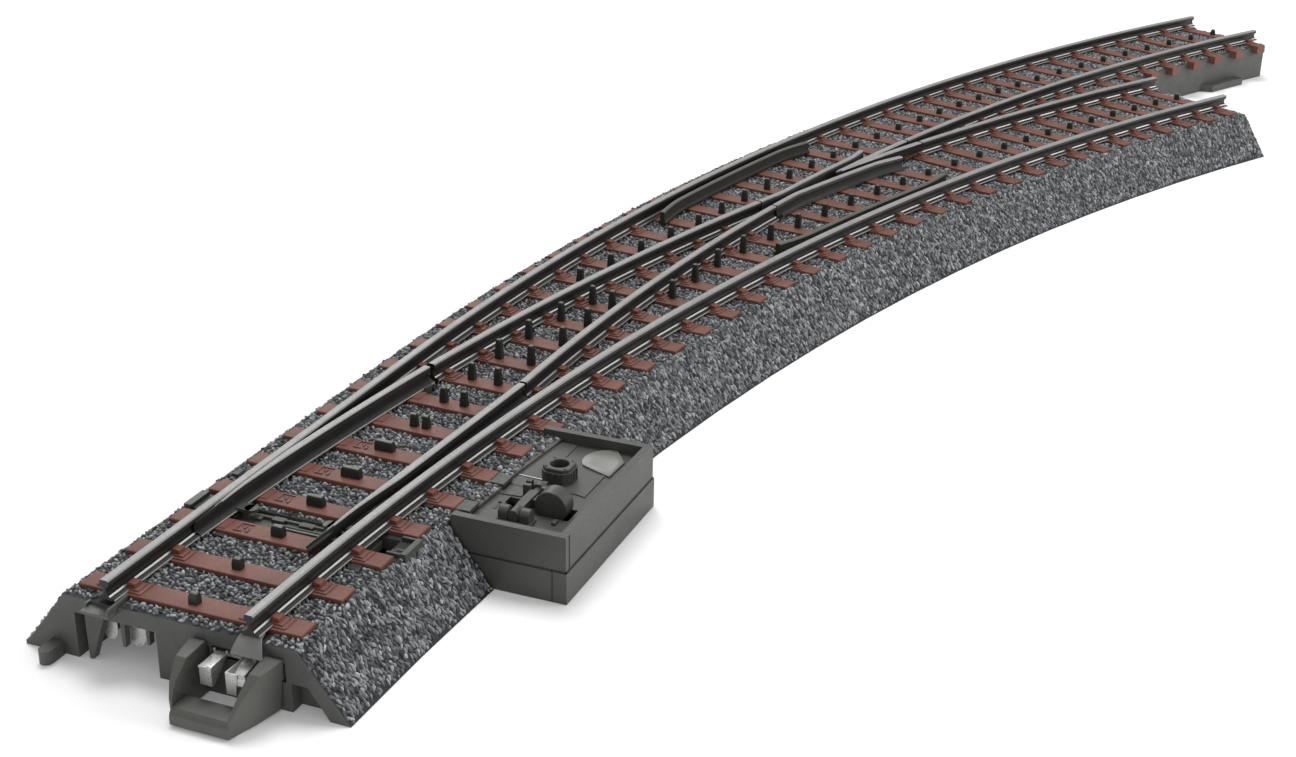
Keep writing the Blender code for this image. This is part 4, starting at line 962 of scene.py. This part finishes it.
# The dished corner: a thin plate with one rounded side, painted pale as a reflection.
rim_pts = [(48.6, -27.3), (52.9, -27.5)] + [(52.35 + 3.2 * math.cos(math.radians(a)), -25.5 + 3.1 * math.sin(math.radians(a))) for a in range(0, 131, 10)]
mid = (51.6, -25.9)
dish_levels = []
for k, z in ((1.0, 7.02), (1.0, 7.2), (0.97, 7.23), (0.6, 7.15), (0.2, 7.1)):
    dish_levels.append([(mid[0] + (x - mid[0]) * k, mid[1] + (y - mid[1]) * k, z) for x, y in rim_pts])
piece("tray_dish", [(loft(dish_levels), 0)], [DISH_REFLECTION], replaces=("tray_step",), smooth=60)


# Lantern socket: chamfered block with a round hole and four corner pins.
def chamfered(x, y, h, c):
    return [(x - h + c, y - h), (x + h - c, y - h), (x + h, y - h + c), (x + h, y + h - c), (x + h - c, y + h), (x - h + c, y + h), (x - h, y + h - c), (x - h, y - h + c)]


def socket_ring(h, c, n):
    """n points round a chamfered square, one on each ray from its centre."""
    pts = []
    for i in range(n):
        a = 2 * math.pi * i / n
        ca, sa = abs(math.cos(a)), abs(math.sin(a))
        r_ = min(h / max(ca, 1e-9), h / max(sa, 1e-9), (2 * h - c) / (ca + sa))
        pts.append((LAMP_X + r_ * math.cos(a), LAMP_Y + r_ * math.sin(a)))
    return pts


def tube(n, levels):
    """A ring-shaped body from (outer half, chamfer, bore radius, z) levels."""
    v, f = [], []
    for h, c, r_, z in levels:
        v += [(x, y, z) for x, y in socket_ring(h, c, n)]
        v += [(LAMP_X + r_ * math.cos(2 * math.pi * i / n), LAMP_Y + r_ * math.sin(2 * math.pi * i / n), z) for i in range(n)]
    m = len(levels)
    for k in range(m - 1):
        a, b = k * 2 * n, (k + 1) * 2 * n
        for i in range(n):
            j = (i + 1) % n
            f.append((a + i, a + j, b + j, b + i))
            f.append((a + n + j, a + n + i, b + n + i, b + n + j))
    for i in range(n):
        j = (i + 1) % n
        f.append((j, i, n + i, n + j))
        t = (m - 1) * 2 * n
        f.append((t + i, t + j, t + n + j, t + n + i))
    return v, f


socket = [(tube(64, [(1.88, 0.75, 1.15, 7.05), (1.88, 0.75, 1.15, 8.5), (1.74, 0.68, 1.15, 8.56), (1.74, 0.68, 1.15, 8.9), (1.66, 0.64, 1.22, 9.0)]), 0)]
for sx in (-1, 1):
    for sy in (-1, 1):
        socket.append((drum(LAMP_X + sx * 1.2, LAMP_Y + sy * 1.2, 8.8, 9.1, 0.14, 16), 0))
for d in (-0.75, 0.0, 0.75):
    socket.append((block(LAMP_X - 1.97, LAMP_X - 1.8, LAMP_Y + d - 0.14, LAMP_Y + d + 0.14, 7.1, 8.4), 0))
    socket.append((block(LAMP_X + d - 0.14, LAMP_X + d + 0.14, LAMP_Y - 1.97, LAMP_Y - 1.8, 7.1, 8.4), 0))
piece("lantern_socket_fine", socket, [PLASTIC], replaces=("lantern_socket",), smooth=30)
spin = [(drum(LAMP_X, LAMP_Y, 5.8, 7.6, 0.9, 48), 0), (drum(LAMP_X, LAMP_Y, 5.45, 6.05, 1.95, 48), 0)]
lamp_r = 1.875 / (2 * math.sin(math.radians(45)))
spin.append((drum(LAMP_X - lamp_r * math.cos(math.radians(45)), LAMP_Y + lamp_r * math.sin(math.radians(45)), 4.1, 5.7, 0.34, 24), 0))
for sy in (-1, 1):
    spin.append((block(LAMP_X - 0.6, LAMP_X + 0.6, *sorted((LAMP_Y + sy * 0.24, LAMP_Y + sy * 0.5)), 7.5, 8.1), 0))
piece("lantern_spindle_fine", spin, [BLACK], "lantern", ("lantern_spindle",), bevel=0.05, smooth=30)

# Near bearing of the lever: two rounded ears on a base, the shaft end between.
ear_side = [(33.6, 7.2), (35.2, 7.2)] + [(34.4 + 0.8 * math.cos(math.radians(a)), 8.0 + 0.8 * math.sin(math.radians(a))) for a in range(0, 181, 15)]
ears = [(block(33.5, 35.3, -24.0, -19.6, 7.05, 7.3), 0)]
for ends_ in ((-23.75, -22.56), (-21.04, -19.85)):
    ears.append((loft([[(x, y, z) for x, z in ear_side] for y in ends_]), 0))
piece("lever_bearing_fine", ears, [PLASTIC], replaces=("lever_bearing",), bevel=0.08, smooth=35)

# Hand lever: shaft, arm and the round weight.
arm = [
    (drum_x(33.6, 35.2, LEVER_Y, LEVER_Z + 0.05, 0.72, 36), 0),
    (drum_x(33.7, 40.9, LEVER_Y, LEVER_Z, 0.6, 36), 0),
    (loft([[(x, LEVER_Y - w, LEVER_Z - h), (x, LEVER_Y + w, LEVER_Z - h), (x, LEVER_Y + w, LEVER_Z + h), (x, LEVER_Y - w, LEVER_Z + h)] for x, w, h in ((34.9, 0.5, 0.55), (36.0, 0.55, 0.62), (39.5, 0.6, 0.66), (39.55, 0.55, 0.6))]), 0),
    (drum_x(40.4, 41.3, LEVER_Y, LEVER_Z, 0.95, 40), 0),
    (block(37.5, 38.9, LEVER_Y - 2.9, LEVER_Y - 0.3, LEVER_Z - 0.4, LEVER_Z + 0.45), 0),
]
pin_y = LEVER_Y + 1.875 / 2
crank_z = LEVER_Z - 1.875 / (2 * math.sin(math.radians(75))) * math.cos(math.radians(75))
arm.append((drum_x(41.0, 42.6, pin_y, crank_z, 0.34, 24), 0))
piece("lever_shaft_fine", arm, [PLASTIC], "hand_lever", ("lever_shaft",), bevel=0.07, smooth=35)
weight_y, weight_z = LEVER_Y - 3.1, LEVER_Z + 0.1
piece("lever_weight_fine", [(drum_x(37.0, 39.2, weight_y, weight_z, 2.0, 72), 0)], [PLASTIC_2], "hand_lever", ("lever_weight",), bevel=0.12, segments=3, smooth=35)

# Plates at the ends of the ties beside the box.
ends = []
for k in (4, 5):
    q = inner(tie_s(TIES_INNER, k), -TIE_HALF)
    ends.append((block(q[0] - 1.2, q[0] + 1.3, q[1] - 1.9, q[1] - 0.05, 7.3, 7.78), 0))
piece("tie_end_plates", ends, [PLASTIC], bevel=0.05)
seams = [
    (block(31.4, 31.6, -29.86, -29.7, 4.05, 8.3), 0),
    (block(30.3, 30.42, -28.25, -28.05, 0.05, 3.88), 0),
    (block(30.44, 56.56, -29.86, -29.7, 3.9, 4.06), 0),
    (block(30.44, 30.6, -29.86, -16.0, 3.9, 4.06), 0),
]
piece("housing_seams", seams, [BLACK])

# ------------------------------------------------------------------- end work
toe = ENDS["toe"]
trim = []
for e, fr in ENDS.items():
    lw, rw = -HALF_GAUGE, HALF_GAUGE
    # Ramp at the other, widening as it falls.
    nose_plate = loft([[(u, rw - w + c, z - 0.25), (u, rw + w + c, z - 0.25), (u, rw + w + c, z), (u, rw - w + c, z)] for u, w, c, z in ((-1.2, 1.1, 0.0, 7.97), (-0.3, 1.25, 0.05, 7.9), (0.3, 1.45, 0.15, 7.6), (0.8, 1.7, 0.2, 7.0), (1.2, 1.95, 0.25, 6.3))])
    piece(f"{e}_rail_tongue_fine", [(placed(nose_plate, fr), 0)], [RAMP], replaces=(f"{e}_left_joiner",), bevel=0.06)
    # Trough under the other rail end: floor, tall inner wall and low outer wall.
    side_ = 1 if lw > 0 else -1
    trough = [
        (placed(block(-1.95, 1.62, *sorted((lw - side_ * 1.5, lw + side_ * 2.2)), 6.75, 7.05), fr), 0),
        (placed(loft([[(u, lw - side_ * 1.45, 6.8), (u, lw - side_ * 1.15, 6.8), (u, lw - side_ * 1.15, z), (u, lw - side_ * 1.45, z)] for u, z in ((-1.95, 7.95), (1.3, 7.9), (1.68, 7.6))]), fr), 0),
        (placed(block(-1.9, 0.6, *sorted((lw + side_ * 2.0, lw + side_ * 2.3)), 6.8, 7.42), fr), 0),
        (placed(block(-1.95, -0.5, *sorted((lw - side_ * 1.0, lw + side_ * 1.6)), 7.0, 7.35), fr), 1),
    ]
    piece(f"{e}_rail_trough_fine", trough, [FITTING, BLACK], replaces=(f"{e}_right_joiner",), bevel=0.06)
    # Contact block behind the centre contacts, ribbed.
    trim.append((placed(block(-1.2, -0.15, 4.1, 9.7, 4.55, 5.65), fr), 1))
    for v in (4.5, 6.0, 7.7, 9.3):
        trim.append((placed(drum(0.2, v, 5.2, 5.6, 0.17, 14), fr), 2))
    # Bright contact tabs that hang behind the end frame.
    for v0, v1 in ((-10.7, -8.75), (-7.35, -5.15)):
        tab = loft([[(u, v0, 5.8), (u, v1, 5.8), (u, v1, 3.2), (u, (v0 + v1) / 2 + 0.5, 2.3), (u, (v0 + v1) / 2 - 0.3, 2.2), (u, v0, 2.9)] for u in (-1.5, -1.38)])
        trim.append((placed(tab, fr), 2))
piece("end_trim", trim, [PLASTIC_2, BLACK, SPRING, RAMP], bevel=0.05)

def cheek(levels):
    """A side plate of the hook from (u, inner v, outer top v, outer foot v, inner top z, outer top z)."""
    return loft([[(u, vi, 0.22), (u, vf, 0.22), (u, vo, zo), (u, vi, zi)] for u, vi, vo, vf, zi, zo in levels])


NEAR_CHEEK = ((0.28, 3.56, 1.7, 2.3, 6.25, 6.25), (3.4, 3.35, 2.05, 2.4, 5.95, 5.95), (5.5, 3.25, 2.6, 2.75, 4.2, 4.2), (6.35, 3.35, 3.0, 3.15, 2.7, 2.7))
FAR_CHEEK = ((0.28, 10.6, 12.7, 12.1, 6.25, 6.25), (3.4, 10.7, 12.0, 11.4, 5.95, 5.95), (5.4, 10.68, 11.1, 10.8, 4.7, 4.05), (6.85, 10.15, 10.32, 10.32, 2.2, 2.1))
HOOK_LIP = [(3.95, 0.2), (3.95, 1.95), (5.9, 2.02), (6.4, 1.93), (6.75, 1.68), (6.93, 1.35), (6.99, 0.95), (6.99, 0.2)]
for e, fr in ENDS.items():
    lip = loft([[(u, v, z) for u, z in HOOK_LIP] for v in (3.3, 10.32)])
    hook = [(placed(cheek(NEAR_CHEEK), fr), 0), (placed(cheek(FAR_CHEEK), fr), 0), (placed(lip, fr), 0)]
    hook += [(placed(block(-2.2, 0.8, v0, v0 + 1.1, 3.6, 5.3), fr), 0) for v0 in (2.35, 11.3)]
    piece(f"{e}_latch_fine", hook, [FITTING], replaces=(f"{e}_latch",), bevel=0.09, segments=2, smooth=19, angle=14)
    folded = loft([[(u, v, z) for u, z in ((0.1, 5.35), (3.05, 5.35), (3.3, 5.2), (3.26, 3.15), (2.9, 3.05), (1.7, 4.0), (0.7, 4.9), (0.1, 5.1))] for v in (4.68, 6.1)])
    curl = loft([[(3.2 + 0.16 * math.cos(math.radians(t)), v, 5.2 + 0.16 * math.sin(math.radians(t))) for t in range(0, 360, 30)] for v in (4.62, 5.6)])
    trough = [
        loft([[(u, v0, z), (u, v1, z), (u, v1, z - 0.12), (u, v0, z - 0.12)] for u, v0, v1, z in ((0.1, 8.0, 9.55, 5.3), (1.2, 8.0, 9.6, 5.1), (3.25, 7.95, 9.8, 4.1))]),
        loft([[(u, v0, 5.36), (u, v0 + 0.14, 5.36), (u, v0 + 0.14, z), (u, v0, z)] for u, v0, z in ((0.1, 7.92, 5.15), (1.2, 7.9, 4.95), (3.3, 7.8, 3.6))]),
        loft([[(u, v0, 5.36), (u, v0 + 0.14, 5.36), (u, v0 + 0.14, z), (u, v0, z)] for u, v0, z in ((0.1, 9.45, 5.15), (1.2, 9.6, 4.95), (3.05, 9.85, 4.0))]),
        loft([[(u, 7.8, 5.36), (u, 9.3, 5.36), (u, 8.95, 2.85), (u, 7.85, 2.85)] for u in (3.22, 3.36)]),
        loft([[(u, 9.3, 5.36), (u, 9.99, 5.36), (u, 9.75, 4.85), (u, 9.2, 4.85)] for u in (3.1, 3.24)]),
    ]
    strips = [(placed(folded, fr), 0), (placed(curl, fr), 0)] + [(placed(t, fr), 0) for t in trough]
    strips.append((placed(block(-2.2, 0.15, 4.6, 9.4, 4.93, 5.2), fr), 0))
    piece(f"{e}_contact_fine", strips, [SPRING], replaces=(f"{e}_centre_contact",), bevel=0.03, segments=2, smooth=35)

# Cover screws, with a black strip across each head as painted shade in its slot.
for i, (x, y) in enumerate(((27.6, 9.3), (44.6, 9.3), (44.6, -9.3)), 1):
    piece(f"cover_screw_{i}_fine", [(drum(x, y, 0.3, 4.6, 0.62, 28), 0), (drum(x, y, 0.05, 0.42, 1.4, 40, 1.5), 0), (block(x - 1.1, x + 1.1, y - 0.16, y + 0.16, 0.03, 0.08), 1)], [STEEL, BLACK], replaces=(f"cover_screw_{i}",), bevel=0.05)

# ------------------------------------------------------- stage, light, camera
floor_mesh = bpy.data.meshes.new("stage_floor")
floor_mesh.from_pydata([(-3, -3, -0.00005), (3, -3, -0.00005), (3, 3, -0.00005), (-3, 3, -0.00005)], [], [(0, 1, 2, 3)])
floor_mat, _, _, floor_shader = new_material("stage_white")
floor_shader.inputs["Base Color"].default_value = (0.92, 0.92, 0.92, 1)
floor_shader.inputs["Emission Color"].default_value = (1, 1, 1, 1)
floor_shader.inputs["Emission Strength"].default_value = 0.12
floor_shader.inputs["Roughness"].default_value = 0.9
floor_shader.inputs["Specular IOR Level"].default_value = 0.0
floor_mesh.materials.append(floor_mat)
floor = bpy.data.objects.new("stage_floor", floor_mesh)
bpy.context.scene.collection.objects.link(floor)

scene = bpy.context.scene
world = bpy.data.worlds.new("studio")
world.use_nodes = True
world.node_tree.nodes["Background"].inputs["Color"].default_value = (1, 1, 1, 1)
world.node_tree.nodes["Background"].inputs["Strength"].default_value = 0.55
scene.world = world
scene.view_settings.view_transform = "Standard"


def lamp(name, at, towards, size, power):
    data = bpy.data.lights.new(name, "AREA")
    data.shape = "DISK"
    data.size = size
    data.energy = power
    obj = bpy.data.objects.new(name, data)
    obj.location = at
    obj.rotation_euler = (Vector(towards) - Vector(at)).to_track_quat("-Z", "Y").to_euler()
    scene.collection.objects.link(obj)


lamp("key", (0.3, -0.95, 0.5), (0, 0, 0), 0.6, 4.4)
lamp("top", (0.22, 0.22, 1.0), (0, 0, 0), 0.5, 5.6)
lamp("back", (0.7, 0.6, 0.5), (0, 0, 0), 0.5, 1.5)

eye_at = Vector((-0.297296, -0.071156, 0.106732))
forward = Vector((0.85183, 0.33736, -0.40071)).normalized()
right = forward.cross(Vector((0.36621, 0.16341, 0.91608))).normalized()
up = right.cross(forward)
camera_data = bpy.data.cameras.new("photo_view")
camera_data.lens = 51.39
camera_data.sensor_width = 36.0
camera_data.clip_start = 0.001
camera_data.clip_end = 20.0
camera = bpy.data.objects.new("photo_view", camera_data)
camera.matrix_world = Matrix(
    (
        (right.x, up.x, -forward.x, eye_at.x),
        (right.y, up.y, -forward.y, eye_at.y),
        (right.z, up.z, -forward.z, eye_at.z),
        (0, 0, 0, 1),
    )
)
scene.collection.objects.link(camera)
scene.camera = camera
